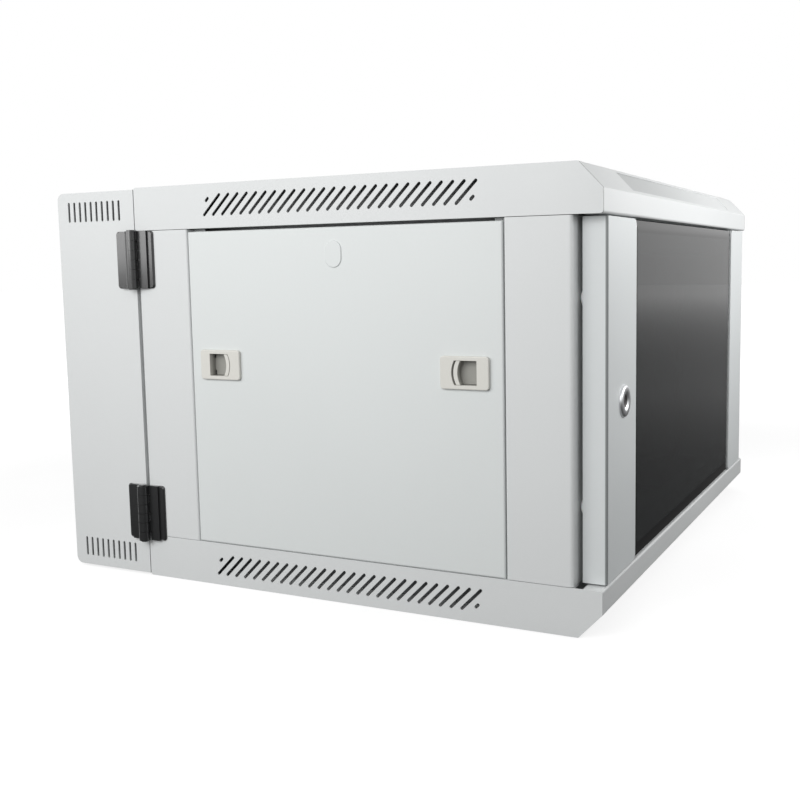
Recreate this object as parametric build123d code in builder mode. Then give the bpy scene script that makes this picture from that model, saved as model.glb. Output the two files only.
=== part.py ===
from build123d import *
import os

# Hinged double-section wall rack cabinet, six units high, in millimetres.
# The door faces -Y, the wall is at +Y, and Z is up from the surface it stands on.
# The shallow section behind the seam is screwed to the wall. The main section swings
# away from it on two hinges at the left rear edge.

os.makedirs("parts", exist_ok=True)

# Overall sizes
case_width = 600.0
case_height = 368.0
case_depth = 545.0
wall_depth = 95.0          # depth of the section that stays on the wall
wall_inset = 1.5           # the wall section stops this far inside the top and bottom faces
seam_gap = 1.0             # between the wall section and the main section

# Sheet metal
case_sheet = 1.2
post_sheet = 1.5
rail_sheet = 1.5
rack_sheet = 2.0
panel_sheet = 1.0
fold_radius = 2.0          # outside radius of an ordinary fold
end_seam = 0.4             # between a folded shell's end and the cheek welded to it

# Trays with their front canopies, alike at top and bottom
slope_run = 19.5
slope_drop = 20.5
skirt_height = 39.4        # from the top or bottom face to the side opening
lip_return = 16.0          # fold behind the canopy's lip that carries the door's pivots
tray_upstand = 12.0        # fold at a tray's rear edge
recess_start_inset = 92.0  # bare recessed field on the upper slope
recess_end_inset = 95.0
recess_height = 21.0
recess_depth = 0.5

# Cheeks of the main section
cheek_flange = 14.0
cheek_corner = 2.0
vent_count = 26
vent_pitch = 9.95
vent_length = 27.0
vent_width = 2.8
vent_tilt = 135.0
vent_shift = 1.0           # from the side panel's centre to the middle of a row
vent_centre_drop = 19.0
stub_length = 5.5          # the short slot at each end of a row
stub_shift = 4.8

# Posts and side openings
post_gap = 0.5             # between a post's end and the skirt
opening_front_inset = 79.5 # from the front face to the side opening
opening_rear_inset = 60.0  # from the main section's rear edge to the side opening
post_front_inset = 23.5
post_rear_inset = 1.5      # the rear posts stop this far before the main section's rear edge
front_flange = 30.0
rear_flange = 22.0
ledge_width = 12.0
post_corner = 3.0

# Side panels
panel_gap = 1.0
panel_gap_top = 2.8
panel_gap_bottom = 0.4
panel_depth = 11.0
panel_seat = 0.5           # between the panel's inner edge and the posts' ledges
panel_corner = 1.6
knockout_width = 16.0
knockout_height = 23.0
knockout_rise = 1.0
knockout_fillet = 0.8
knockout_drop = 65.0       # from the top face to its middle
stud_radius = 2.5          # locating studs at the panel's foot
stud_clearance = 0.5
stud_inset = 6.0
stud_rise = 12.0
stud_tip = 3.0

# Side panel latches
latch_inset = 34.0         # from the side opening's end to a latch's centre
latch_rise = 22.0          # of the latches above the middle
latch_length = 43.0
latch_height = 27.0
latch_proud = 3.0
latch_corner = 3.0
latch_edge = 1.0
latch_border = 2.0         # of the face plate around the box behind it
latch_wall = 1.5
latch_depth = 9.0          # of the box behind the panel's face
latch_clearance = 0.3
pocket_reach = 11.0        # from the latch's centre to the pocket's straight edge
pocket_shift = 4.0         # from the latch's centre to the point its pocket is drawn from
pocket_crown = 7.4         # from that point to the crown of the pocket's bowed edge
pocket_height = 20.0
pocket_bow = 20.5          # radius of the bowed edge and of the grip's two edges
grip_gap = 1.5             # from the pocket's bowed edge to the grip
grip_thickness = 3.5
grip_sink = 1.0
slider_sheet = 2.0
bolt_width = 11.0
bolt_retreat = 0.8         # bolt tip behind the panel's edge when unlocked
bolt_clearance = 1.4       # around the bolt in the panel's edge and the post
latch_travel = 8.0

# Swing hinges
hinge_axis_out = 6.0       # from the side face to the hinge axis
knuckle_radius = 5.3
knuckle_gap = 0.3
knuckle_clearance = 0.5
knuckle_pairs = 3
hinge_height = 53.0
hinge_upper_drop = 66.3    # from the top face to the upper hinge's middle
hinge_lower_z = 61.9
leaf_reach = 22.0
leaf_sheet = 2.2
leaf_rib = 1.6
leaf_rib_end = 16.0
leaf_bevel = 1.2
leaf_corner = 3.0
hinge_pin_radius = 2.5
hinge_pin_head = 1.0
hinge_pin_head_radius = 3.6
pin_clearance = 0.05
hinge_screw_y = 14.0       # from the hinge axis
hinge_screw_z = 15.0       # above and below the hinge's middle
screw_bite = 1.6           # depth of the screw in the leaf

# Depth rails and 19-inch rails
rack_unit = 44.45
rack_hole_pitch = 15.875
rack_hole_start = 6.35
rack_hole_size = 9.5
rack_side_room = 74.5      # from the case's side to the rails' inner edge: 451 mm clear width
rack_hole_inset = 7.05     # from that edge to the hole row: 465.1 mm between rows
rack_face_width = 25.5
rack_web = 32.0
rack_lip = 8.0
rack_fold = 2.6
rack_front_inset = 72.5
rack_rear_inset = 37.0     # from the main section's rear edge
rack_tab_trim = 3.0        # of the tabs, to clear the folds beside them
depth_rail_side_room = 38.0
depth_rail_flange = 30.0
depth_rail_level = 42.0    # from the top or bottom face to the rails' flange
depth_rail_front_inset = 36.5
rail_slot_length = 60.0
bolt_inset = 14.5          # from the rails' inner edge to the bolts
m6_radius = 3.0
m6_clearance = 0.3
m6_across = 10.0
m6_head_height = 4.0
m6_nut_height = 5.0
rear_rail_height = 10.0
rear_rail_depth = 15.0
rear_rail_gap = 0.5

# Door
door_left_inset = 13.0
door_right_inset = 14.0
door_gap = 1.4
door_thickness = 20.0
door_sheet = 1.2
lock_stile_width = 81.0
hinge_stile_width = 74.0
stile_corner = 6.0
stile_edge = 1.2
stile_rear_lip = 15.0
stile_inner_lip = 12.0
glass_thickness = 4.0
glass_sink = 1.2
glass_side_gap = 0.8
glass_end_gap = 0.8
tape_thickness = 1.0
tape_width = 10.0
door_rail_height = 28.0
door_rail_gap = 1.0
pivot_side_inset = 19.0
pivot_front_inset = 7.5
pivot_radius = 2.5
pivot_head_radius = 5.0
pivot_head_height = 2.0
pivot_reach = 9.0
washer_radius = 4.2
washer_clearance = 0.3
bumper_radius = 7.0
bumper_height = 3.2
bumper_fillet = 2.56
bumper_inset = 7.5         # from the door's left edge
bumper_upper_drop = 103.0
bumper_lower_z = 101.0

# Locks: one in the door, one in the right rear post
lock_inset = 44.5          # from the door's left edge
lock_fall = 3.0            # below the middle
bezel_radius = 13.0
bezel_height = 2.5
bezel_chamfer = 1.0
barrel_radius = 9.4
barrel_clearance = 0.1
plug_radius = 5.5
plug_clearance = 0.06
plug_sink = 0.4
plug_stand = 0.3           # of the plug's inner end beyond the barrel
keyway_width = 1.6
keyway_height = 7.0
keyway_depth = 12.0
lock_nut_across = 22.0
lock_nut_height = 4.0
cam_sheet = 2.0
cam_width = 14.0
cam_length = 38.0
cam_corner = 2.0
cam_gap = 1.0              # between the cam and the back of the post's flange
swing_lock_inset = 33.0    # from the main section's rear edge
hook_radius = 42.0         # from the swing lock's axis to the strike pin
hook_arm = 8.0
hook_lead = 10.0           # degrees of the hook ahead of the pin
hook_trail = 16.0          # degrees behind it
hook_plane_inset = 24.0    # from the side face
strike_pin_radius = 2.5
strike_clearance = 1.2
strike_height = 20.0
strike_depth = 11.0
strike_corner = 2.0
strike_inset = 16.0        # from the side face to the block's inner face
strike_pin_reach = 14.0

# Wall section
wall_corner = 7.0
wall_flange = 14.0
wall_cheek_flange = 15.0
wall_flange_gap = 1.0
slit_count = 10
slit_pitch = 6.94
slit_width = 2.5
slit_length = 19.0
slit_first_inset = 14.3    # from the back face to the rearmost slit
slit_centre_drop = 19.9
wall_hole_side_inset = 50.0
wall_hole_level_inset = 34.0
wall_hole_radius = 4.5
rear_opening_width = 300.0
rear_opening_height = 90.0
rear_opening_fall = 54.0   # of its centre below the middle
rear_opening_corner = 8.0
entry_width = 250.0
entry_depth = 45.0
entry_corner = 6.0
cover_overlap = 14.0
cover_sheet = 1.5
cover_screw_inset = 7.0
screw_radius = 1.9
screw_clearance = 0.1
screw_head_radius = 3.8
screw_head_height = 2.0

# Earthing stud
earth_side_inset = 95.0
earth_front_inset = 212.5
earth_length = 18.0

# Places that follow from the sizes above
half_width = case_width / 2
front_y = -case_depth / 2
back_y = case_depth / 2
seam_y = back_y - wall_depth
main_rear_y = seam_y - seam_gap / 2
wall_front_y = seam_y + seam_gap / 2
shell_half = half_width - case_sheet - end_seam
mid_z = case_height / 2
post_low_z = skirt_height + post_gap
post_high_z = case_height - skirt_height - post_gap
post_front_y = front_y + post_front_inset
post_rear_y = main_rear_y - post_rear_inset
opening_front_y = front_y + opening_front_inset
opening_rear_y = main_rear_y - opening_rear_inset
ledge_x = half_width - panel_depth - panel_seat
panel_centre_y = (opening_front_y + opening_rear_y) / 2
vent_centre_y = panel_centre_y + vent_shift
panel_front_y = opening_front_y + panel_gap
panel_rear_y = opening_rear_y - panel_gap
panel_low_z = skirt_height + panel_gap_bottom
panel_high_z = case_height - skirt_height - panel_gap_top
stud_z = panel_low_z + stud_rise
knockout_z = case_height - knockout_drop
latch_offset = (opening_rear_y - opening_front_y) / 2 - latch_inset
latch_z = mid_z + latch_rise
slider_back_x = half_width - latch_depth + latch_wall + latch_clearance
slider_mid_x = slider_back_x + slider_sheet / 2
hinge_upper_z = case_height - hinge_upper_drop
rack_low_z = depth_rail_level
rack_high_z = case_height - depth_rail_level
rack_units = int((rack_high_z - rack_low_z) / rack_unit)
rack_inner_x = half_width - rack_side_room
rack_hole_x = rack_inner_x + rack_hole_inset
rack_front_y = front_y + rack_front_inset
rack_rear_y = main_rear_y - rack_rear_inset
bolt_x = rack_inner_x + bolt_inset
depth_rail_x = half_width - depth_rail_side_room
depth_rail_front_y = front_y + depth_rail_front_inset
door_left = -half_width + door_left_inset
door_right = half_width - door_right_inset
door_back_y = front_y + door_thickness
door_low_z = skirt_height + door_gap
door_high_z = case_height - skirt_height - door_gap
glass_left = door_left + lock_stile_width
glass_right = door_right - hinge_stile_width
glass_back_y = front_y + glass_sink + glass_thickness
tape_back_y = glass_back_y + tape_thickness
pivot_x = half_width - pivot_side_inset
pivot_y = front_y + pivot_front_inset
bumper_x = door_left + bumper_inset
bumper_upper_z = case_height - bumper_upper_drop
lock_x = door_left + lock_inset
lock_z = mid_z - lock_fall
swing_lock_y = main_rear_y - swing_lock_inset
swing_lock_z = mid_z
hook_plane_x = half_width - hook_plane_inset
strike_x = half_width - strike_inset
wall_low_z = wall_inset
wall_high_z = case_height - wall_inset
depth_rail_rear_y = post_rear_y - rear_rail_depth - rear_rail_gap
wall_hole_x = half_width - wall_hole_side_inset
wall_hole_z = mid_z - wall_hole_level_inset
rear_opening_z = mid_z - rear_opening_fall
recess_start = -half_width + recess_start_inset
recess_end = half_width - recess_end_inset
earth_x = -half_width + earth_side_inset
earth_y = front_y + earth_front_inset
m6_hole = m6_radius + m6_clearance


def level(drop, top):
    """Height of a point that lies drop below the top face, or above the bottom one."""
    return case_height - drop if top else drop


def wall_level(drop, top):
    """The same, measured from the wall section's own top or bottom face."""
    return wall_high_z - drop if top else wall_low_z + drop


def save(block, name):
    """Label a finished piece and write it to its own file."""
    block.part.label = name
    export_step(block.part, f"parts/{name}.step")


def mirrored(block):
    """The left-hand copy of a right-hand piece."""
    with BuildPart() as copy:
        add(mirror(block.part, about=Plane.YZ))
    return copy


# Trays and cheeks of the main section

def make_tray(top):
    """Tray with its canopy: rear fold, flat, slope, lip, and the fold behind the lip."""
    with BuildPart() as tray:
        with BuildSketch(Plane.YZ):
            with BuildLine():
                FilletPolyline(
                    (main_rear_y, level(tray_upstand, top)),
                    (main_rear_y, level(0, top)),
                    (front_y + slope_run, level(0, top)),
                    (front_y, level(slope_drop, top)),
                    (front_y, level(skirt_height, top)),
                    (front_y + lip_return, level(skirt_height, top)),
                    radius=fold_radius,
                )
                offset(amount=case_sheet, side=Side.LEFT if top else Side.RIGHT)
            make_face()
        extrude(amount=shell_half, both=True)
        with BuildSketch(Plane.XY.offset(level(skirt_height, top))):
            with Locations((pivot_x, pivot_y)):
                Circle(pivot_radius + pin_clearance)
        extrude(amount=case_sheet * 2, both=True, mode=Mode.SUBTRACT)
        if top:
            slope = Plane(
                origin=(0, front_y + slope_run / 2, case_height - slope_drop / 2),
                x_dir=(1, 0, 0),
                z_dir=(0, -slope_drop, slope_run),
            )
            with BuildSketch(slope):
                with Locations(((recess_start + recess_end) / 2, 0)):
                    Rectangle(recess_end - recess_start, recess_height)
            extrude(amount=-recess_depth, mode=Mode.SUBTRACT)
    return tray


def make_cheek(top):
    """Right-hand side plate of a tray, with an inward flange and a row of slanted vents."""
    row_z = level(vent_centre_drop, top)
    reach = (vent_count + 1) / 2 * vent_pitch
    rear_stub = (vent_centre_y + reach - stub_shift, row_z + stub_shift)
    front_stub = (vent_centre_y - reach + stub_shift, row_z - stub_shift)
    with BuildPart() as cheek:
        with BuildSketch(Plane.YZ.offset(half_width)):
            with BuildLine():
                FilletPolyline(
                    (main_rear_y, level(0, top)),
                    (front_y + slope_run, level(0, top)),
                    (front_y, level(slope_drop, top)),
                    (front_y, level(skirt_height, top)),
                    (main_rear_y, level(skirt_height, top)),
                    close=True,
                    radius=cheek_corner,
                )
            make_face()
            with Locations((vent_centre_y, row_z)):
                with GridLocations(vent_pitch, vent_pitch, vent_count, 1):
                    SlotOverall(vent_length, vent_width, rotation=vent_tilt, mode=Mode.SUBTRACT)
            with Locations(rear_stub, front_stub):
                SlotOverall(stub_length, vent_width, rotation=vent_tilt, mode=Mode.SUBTRACT)
        extrude(amount=-case_sheet)
        with BuildSketch(Plane.XY.offset(level(skirt_height, top))):
            with Locations((half_width - case_sheet, (post_front_y + post_rear_y) / 2)):
                Rectangle(
                    cheek_flange - case_sheet,
                    post_rear_y - post_front_y,
                    align=(Align.MAX, Align.CENTER),
                )
        extrude(amount=case_sheet if top else -case_sheet)
    return cheek


for top, name in ((True, "top"), (False, "bottom")):
    save(make_tray(top), f"{name}_tray")
    cheek = make_cheek(top)
    save(cheek, f"{name}_cheek_right")
    save(mirrored(cheek), f"{name}_cheek_left")


# Posts and rear rails

def make_post(front):
    """Right-hand post: ledge behind the panel, web, outer face and end flange."""
    opening_y = opening_front_y if front else opening_rear_y
    outer_y = post_front_y if front else post_rear_y
    flange = front_flange if front else rear_flange
    inward = 1 if front else -1
    with BuildPart() as post:
        with BuildSketch(Plane.XY.offset(post_low_z)):
            with BuildLine():
                FilletPolyline(
                    (ledge_x, opening_y + inward * ledge_width),
                    (ledge_x, opening_y),
                    (half_width, opening_y),
                    (half_width, outer_y),
                    (half_width - flange, outer_y),
                    radius=[fold_radius, fold_radius, post_corner],
                )
                offset(amount=post_sheet, side=Side.RIGHT if front else Side.LEFT)
            make_face()
        extrude(amount=post_high_z - post_low_z)
        with BuildSketch(Plane.XZ.offset(-opening_y)):
            with Locations((slider_mid_x, latch_z)):
                Rectangle(slider_sheet + 2 * bolt_clearance, bolt_width + 2 * bolt_clearance)
        extrude(amount=post_sheet * 2, both=True, mode=Mode.SUBTRACT)
        with BuildSketch(Plane.YZ.offset(ledge_x)):
            with Locations((opening_y + inward * stud_inset, stud_z)):
                Circle(stud_radius + stud_clearance)
        extrude(amount=post_sheet * 2, both=True, mode=Mode.SUBTRACT)
    return post


def make_rear_rail(top):
    """Angle that closes the main section's rear frame between the two posts."""
    far_z = post_high_z if top else post_low_z
    near_z = far_z - rear_rail_height if top else far_z + rear_rail_height
    reach = half_width - rear_flange - rear_rail_gap
    with BuildPart() as rail:
        with BuildSketch(Plane.YZ):
            with BuildLine():
                FilletPolyline(
                    (post_rear_y, near_z),
                    (post_rear_y, far_z),
                    (post_rear_y - rear_rail_depth, far_z),
                    radius=fold_radius,
                )
                offset(amount=rail_sheet, side=Side.LEFT if top else Side.RIGHT)
            make_face()
        extrude(amount=reach, both=True)
    return rail


front_post = make_post(True)
save(front_post, "front_post_right")
save(mirrored(front_post), "front_post_left")

rear_post = make_post(False)
hinge_holes = [
    (seam_y - hinge_screw_y, middle + step)
    for middle in (hinge_upper_z, hinge_lower_z)
    for step in (-hinge_screw_z, hinge_screw_z)
]
with BuildPart() as rear_post_left:
    add(mirror(rear_post.part, about=Plane.YZ))
    with BuildSketch(Plane.YZ.offset(-half_width)):
        with Locations(*hinge_holes):
            Circle(screw_radius + screw_clearance)
    extrude(amount=post_sheet * 2, mode=Mode.SUBTRACT)
save(rear_post_left, "rear_post_left")

with BuildPart() as rear_post_right:
    add(rear_post.part)
    with BuildSketch(Plane.YZ.offset(half_width)):
        with Locations((swing_lock_y, swing_lock_z)):
            Circle(barrel_radius + barrel_clearance)
    extrude(amount=-post_sheet * 2, mode=Mode.SUBTRACT)
save(rear_post_right, "rear_post_right")

save(make_rear_rail(True), "rear_rail_top")
save(make_rear_rail(False), "rear_rail_bottom")


# Depth rails, 19-inch rails and the bolts between them

def make_depth_rail(top):
    """Right-hand C-section that carries the 19-inch rails from front to rear."""
    inner_x = depth_rail_x - depth_rail_flange
    far_z = level(depth_rail_level, top)
    near_z = level(case_sheet, top)
    with BuildPart() as rail:
        with BuildSketch(Plane.XZ.offset(-depth_rail_rear_y)):
            with BuildLine():
                FilletPolyline(
                    (inner_x, far_z),
                    (depth_rail_x, far_z),
                    (depth_rail_x, near_z),
                    (inner_x, near_z),
                    radius=fold_radius,
                )
                offset(amount=rail_sheet, side=Side.LEFT if top else Side.RIGHT)
            make_face()
        extrude(amount=depth_rail_rear_y - depth_rail_front_y)
        with BuildSketch(Plane.XY.offset(far_z)):
            with Locations((bolt_x, rack_front_y + rack_web / 2), (bolt_x, rack_rear_y - rack_web / 2)):
                SlotOverall(rail_slot_length, 2 * m6_hole, rotation=90)
        extrude(amount=rail_sheet * 2, both=True, mode=Mode.SUBTRACT)
    return rail


def make_rack_rail(front):
    """Right-hand 19-inch rail: face with square holes, web, lip and a tab at each end."""
    face_y = rack_front_y if front else rack_rear_y
    inward = 1 if front else -1
    outer_x = rack_inner_x + rack_face_width
    tab_y = face_y + inward * rack_web / 2
    first_z = mid_z - rack_units * rack_unit / 2 + rack_hole_start
    with BuildPart() as rail:
        with BuildSketch(Plane.XY.offset(rack_low_z)):
            with BuildLine():
                FilletPolyline(
                    (rack_inner_x, face_y),
                    (outer_x, face_y),
                    (outer_x, face_y + inward * rack_web),
                    (outer_x - rack_lip, face_y + inward * rack_web),
                    radius=rack_fold,
                )
                offset(amount=rack_sheet, side=Side.LEFT if front else Side.RIGHT)
            make_face()
        extrude(amount=rack_high_z - rack_low_z)
        for tab_z, way in ((rack_low_z, 1), (rack_high_z, -1)):
            with BuildSketch(Plane.XY.offset(tab_z)):
                with Locations((rack_inner_x + rack_sheet, tab_y)):
                    Rectangle(
                        rack_face_width - rack_tab_trim,
                        rack_web - rack_tab_trim,
                        align=(Align.MIN, Align.CENTER),
                    )
            extrude(amount=way * rack_sheet)
        with BuildSketch(Plane.XY.offset(rack_low_z)):
            with Locations((bolt_x, tab_y)):
                Circle(m6_hole)
        extrude(amount=rack_high_z - rack_low_z, mode=Mode.SUBTRACT)
        with BuildSketch(Plane.XZ.offset(-face_y)):
            for unit in range(rack_units):
                for hole in range(3):
                    with Locations((rack_hole_x, first_z + unit * rack_unit + hole * rack_hole_pitch)):
                        Rectangle(rack_hole_size, rack_hole_size)
        extrude(amount=rack_sheet * 1.5, both=True, mode=Mode.SUBTRACT)
    return rail


def hexagon_radius(across):
    """Corner radius of a hexagon with this size across its flats."""
    return across / 3 ** 0.5


for top, height in ((True, "upper"), (False, "lower")):
    rail = make_depth_rail(top)
    save(rail, f"depth_rail_{height}_right")
    save(mirrored(rail), f"depth_rail_{height}_left")
for front, end in ((True, "front"), (False, "rear")):
    rail = make_rack_rail(front)
    save(rail, f"rack_rail_{end}_right")
    save(mirrored(rail), f"rack_rail_{end}_left")

bolt_places = [
    (side * bolt_x, y)
    for side in (-1, 1)
    for y in (rack_front_y + rack_web / 2, rack_rear_y - rack_web / 2)
]
with BuildPart() as rack_bolts:
    for top in (True, False):
        up = 1 if top else -1
        tab_z = level(depth_rail_level + rack_sheet, top)
        nut_z = level(depth_rail_level - rail_sheet, top)
        with BuildSketch(Plane.XY.offset(tab_z)):
            with Locations(*bolt_places):
                RegularPolygon(hexagon_radius(m6_across), 6)
        extrude(amount=-up * m6_head_height)
        with BuildSketch(Plane.XY.offset(tab_z)):
            with Locations(*bolt_places):
                Circle(m6_radius)
        extrude(amount=up * (rack_sheet + rail_sheet + m6_nut_height + m6_radius))
        with BuildSketch(Plane.XY.offset(nut_z)):
            with Locations(*bolt_places):
                RegularPolygon(hexagon_radius(m6_across), 6)
        extrude(amount=up * m6_nut_height)
save(rack_bolts, "rack_bolts")

with BuildPart() as earth_stud:
    with BuildSketch(Plane.XY.offset(case_sheet)):
        with Locations((earth_x, earth_y)):
            Circle(m6_radius)
    extrude(amount=earth_length)
    with BuildSketch(Plane.XY.offset(case_sheet)):
        with Locations((earth_x, earth_y)):
            RegularPolygon(hexagon_radius(m6_across), 6)
    extrude(amount=m6_nut_height)
save(earth_stud, "earth_stud")


# Swing hinges

axis_x = -half_width - hinge_axis_out
knuckle_pitch = hinge_height / (2 * knuckle_pairs)


def make_leaves(wall):
    """Both hinge leaves of one section, with their share of the knuckles."""
    outward = 1 if wall else -1
    align_y = Align.MIN if wall else Align.MAX
    start_y = seam_y + outward * (knuckle_radius + knuckle_clearance)
    end_y = seam_y + outward * leaf_reach
    rib_y = seam_y + outward * leaf_rib_end
    with BuildPart() as leaves:
        for middle in (hinge_upper_z, hinge_lower_z):
            with BuildSketch(Plane.YZ.offset(-half_width)):
                with Locations(((start_y + end_y) / 2, middle)):
                    Rectangle(abs(end_y - start_y), hinge_height)
                corners = vertices().sort_by(Axis.X)
                fillet(corners[-2:] if wall else corners[:2], radius=leaf_corner)
            extrude(amount=-leaf_sheet)
            with BuildSketch(Plane.YZ.offset(-half_width - leaf_sheet)):
                with Locations(((start_y + rib_y) / 2, middle)):
                    Rectangle(abs(rib_y - start_y), hinge_height)
            extrude(amount=-leaf_rib)
            for pair in range(knuckle_pairs):
                place = 2 * pair + (0 if wall else 1)
                low_z = middle - hinge_height / 2 + place * knuckle_pitch + knuckle_gap / 2
                with BuildSketch(Plane.XY.offset(low_z)):
                    with Locations((axis_x, seam_y)):
                        Circle(knuckle_radius)
                    with Locations((-half_width - knuckle_gap, seam_y)):
                        Rectangle(
                            leaf_sheet + leaf_rib - knuckle_gap,
                            knuckle_radius + knuckle_clearance,
                            align=(Align.MAX, align_y),
                        )
                extrude(amount=knuckle_pitch - knuckle_gap)
        outer_edges = leaves.edges().filter_by(Axis.Z).group_by(Axis.Y)[-1 if wall else 0]
        chamfer(outer_edges.filter_by(lambda e: e.center().X < -half_width - leaf_bevel), leaf_bevel)
        with BuildSketch(Plane.XY.offset(0)):
            with Locations((axis_x, seam_y)):
                Circle(hinge_pin_radius + pin_clearance)
        extrude(amount=case_height, mode=Mode.SUBTRACT)
        screw_y = seam_y + outward * hinge_screw_y
        with BuildSketch(Plane.YZ.offset(-half_width)):
            for middle in (hinge_upper_z, hinge_lower_z):
                with Locations((screw_y, middle - hinge_screw_z), (screw_y, middle + hinge_screw_z)):
                    Circle(screw_radius + screw_clearance)
        extrude(amount=-screw_bite - screw_clearance, mode=Mode.SUBTRACT)
    return leaves


def make_hinge_screws(wall):
    """Screws that hold one section's leaves, driven from inside the sheet."""
    sheet = case_sheet if wall else post_sheet
    screw_y = seam_y + (hinge_screw_y if wall else -hinge_screw_y)
    places = [
        (screw_y, middle + step)
        for middle in (hinge_upper_z, hinge_lower_z)
        for step in (-hinge_screw_z, hinge_screw_z)
    ]
    with BuildPart() as screws:
        with BuildSketch(Plane.YZ.offset(-half_width + sheet)):
            with Locations(*places):
                Circle(screw_head_radius)
        extrude(amount=screw_head_height)
        with BuildSketch(Plane.YZ.offset(-half_width + sheet)):
            with Locations(*places):
                Circle(screw_radius)
        extrude(amount=-sheet - screw_bite)
    return screws


save(make_leaves(True), "hinge_leaves_wall")
save(make_leaves(False), "hinge_leaves_main")
save(make_hinge_screws(True), "hinge_screws_wall")
save(make_hinge_screws(False), "hinge_screws_main")

with BuildPart() as hinge_pins:
    for middle in (hinge_upper_z, hinge_lower_z):
        with BuildSketch(Plane.XY.offset(middle)):
            with Locations((axis_x, seam_y)):
                Circle(hinge_pin_radius)
        extrude(amount=hinge_height / 2 + hinge_pin_head, both=True)
        for low_z in (middle + hinge_height / 2, middle - hinge_height / 2 - hinge_pin_head):
            with BuildSketch(Plane.XY.offset(low_z)):
                with Locations((axis_x, seam_y)):
                    Circle(hinge_pin_head_radius)
            extrude(amount=hinge_pin_head)
save(hinge_pins, "hinge_pins")


# Wall section

with BuildPart() as wall_shell:
    with BuildSketch(Plane.YZ):
        with BuildLine():
            FilletPolyline(
                (wall_front_y, wall_low_z + wall_flange),
                (wall_front_y, wall_low_z),
                (back_y, wall_low_z),
                (back_y, wall_high_z),
                (wall_front_y, wall_high_z),
                (wall_front_y, wall_high_z - wall_flange),
                radius=[fold_radius, wall_corner, wall_corner, fold_radius],
            )
            offset(amount=case_sheet, side=Side.LEFT)
        make_face()
    extrude(amount=shell_half, both=True)
    with BuildSketch(Plane.XZ.offset(-back_y)):
        with Locations((0, mid_z)):
            with GridLocations(2 * wall_hole_x, 2 * wall_hole_z, 2, 2):
                Circle(wall_hole_radius)
        with Locations((0, rear_opening_z)):
            RectangleRounded(rear_opening_width, rear_opening_height, rear_opening_corner)
    extrude(amount=case_sheet * 2, both=True, mode=Mode.SUBTRACT)
    entry_y = (wall_front_y + back_y) / 2
    cover_screws_x = entry_width / 2 + cover_overlap - cover_screw_inset
    cover_screws_y = entry_depth / 2 + cover_overlap - cover_screw_inset
    for top in (True, False):
        with BuildSketch(Plane.XY.offset(wall_level(0, top))):
            with Locations((0, entry_y)):
                RectangleRounded(entry_width, entry_depth, entry_corner)
                with GridLocations(2 * cover_screws_x, 2 * cover_screws_y, 2, 2):
                    Circle(screw_radius + screw_clearance)
        extrude(amount=case_sheet * 2, both=True, mode=Mode.SUBTRACT)
save(wall_shell, "wall_shell")


def make_cover(top):
    """Plate that closes a cable entry from inside the wall section."""
    with BuildPart() as cover:
        with BuildSketch(Plane.XY.offset(wall_level(case_sheet, top))):
            with Locations((0, entry_y)):
                RectangleRounded(
                    entry_width + 2 * cover_overlap,
                    entry_depth + 2 * cover_overlap,
                    entry_corner,
                )
                with GridLocations(2 * cover_screws_x, 2 * cover_screws_y, 2, 2):
                    Circle(screw_radius + screw_clearance, mode=Mode.SUBTRACT)
        extrude(amount=-cover_sheet if top else cover_sheet)
    return cover


save(make_cover(True), "cable_cover_top")
save(make_cover(False), "cable_cover_bottom")

with BuildPart() as cover_screws:
    for top in (True, False):
        inward = -1 if top else 1
        with BuildSketch(Plane.XY.offset(wall_level(case_sheet + cover_sheet, top))):
            with Locations((0, entry_y)):
                with GridLocations(2 * cover_screws_x, 2 * cover_screws_y, 2, 2):
                    Circle(screw_head_radius)
        extrude(amount=inward * screw_head_height)
        with BuildSketch(Plane.XY.offset(wall_level(case_sheet + cover_sheet, top))):
            with Locations((0, entry_y)):
                with GridLocations(2 * cover_screws_x, 2 * cover_screws_y, 2, 2):
                    Circle(screw_radius)
        extrude(amount=-inward * (case_sheet + cover_sheet))
save(cover_screws, "cable_cover_screws")

with BuildPart() as wall_cheek:
    with BuildSketch(Plane.YZ.offset(half_width)):
        with Locations(((wall_front_y + back_y) / 2, mid_z)):
            Rectangle(back_y - wall_front_y, wall_high_z - wall_low_z)
        fillet(vertices().sort_by(Axis.X)[-2:], radius=wall_corner)
        slit_mid_y = back_y - slit_first_inset - (slit_count - 1) / 2 * slit_pitch
        for top in (True, False):
            with Locations((slit_mid_y, level(slit_centre_drop, top))):
                with GridLocations(slit_pitch, slit_pitch, slit_count, 1):
                    SlotOverall(slit_length, slit_width, rotation=90, mode=Mode.SUBTRACT)
    extrude(amount=-case_sheet)
    flange_z = wall_level(wall_flange + wall_flange_gap, False)
    with BuildSketch(Plane.XZ.offset(-wall_front_y)):
        with Locations((half_width - case_sheet, mid_z)):
            Rectangle(wall_cheek_flange - case_sheet, 2 * (mid_z - flange_z), align=(Align.MAX, Align.CENTER))
    extrude(amount=-case_sheet)
save(wall_cheek, "wall_cheek_right")

with BuildPart() as wall_cheek_left:
    add(mirror(wall_cheek.part, about=Plane.YZ))
    with BuildSketch(Plane.YZ.offset(-half_width)):
        for middle in (hinge_upper_z, hinge_lower_z):
            with Locations(
                (seam_y + hinge_screw_y, middle - hinge_screw_z),
                (seam_y + hinge_screw_y, middle + hinge_screw_z),
            ):
                Circle(screw_radius + screw_clearance)
    extrude(amount=case_sheet * 2, mode=Mode.SUBTRACT)
save(wall_cheek_left, "wall_cheek_left")

strike_y = swing_lock_y + hook_radius
with BuildPart() as strike:
    with BuildSketch(Plane.YZ.offset(half_width - case_sheet)):
        with Locations((strike_y, swing_lock_z)):
            RectangleRounded(strike_depth, strike_height, strike_corner)
    extrude(amount=strike_x - half_width + case_sheet)
save(strike, "swing_lock_strike")

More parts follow.
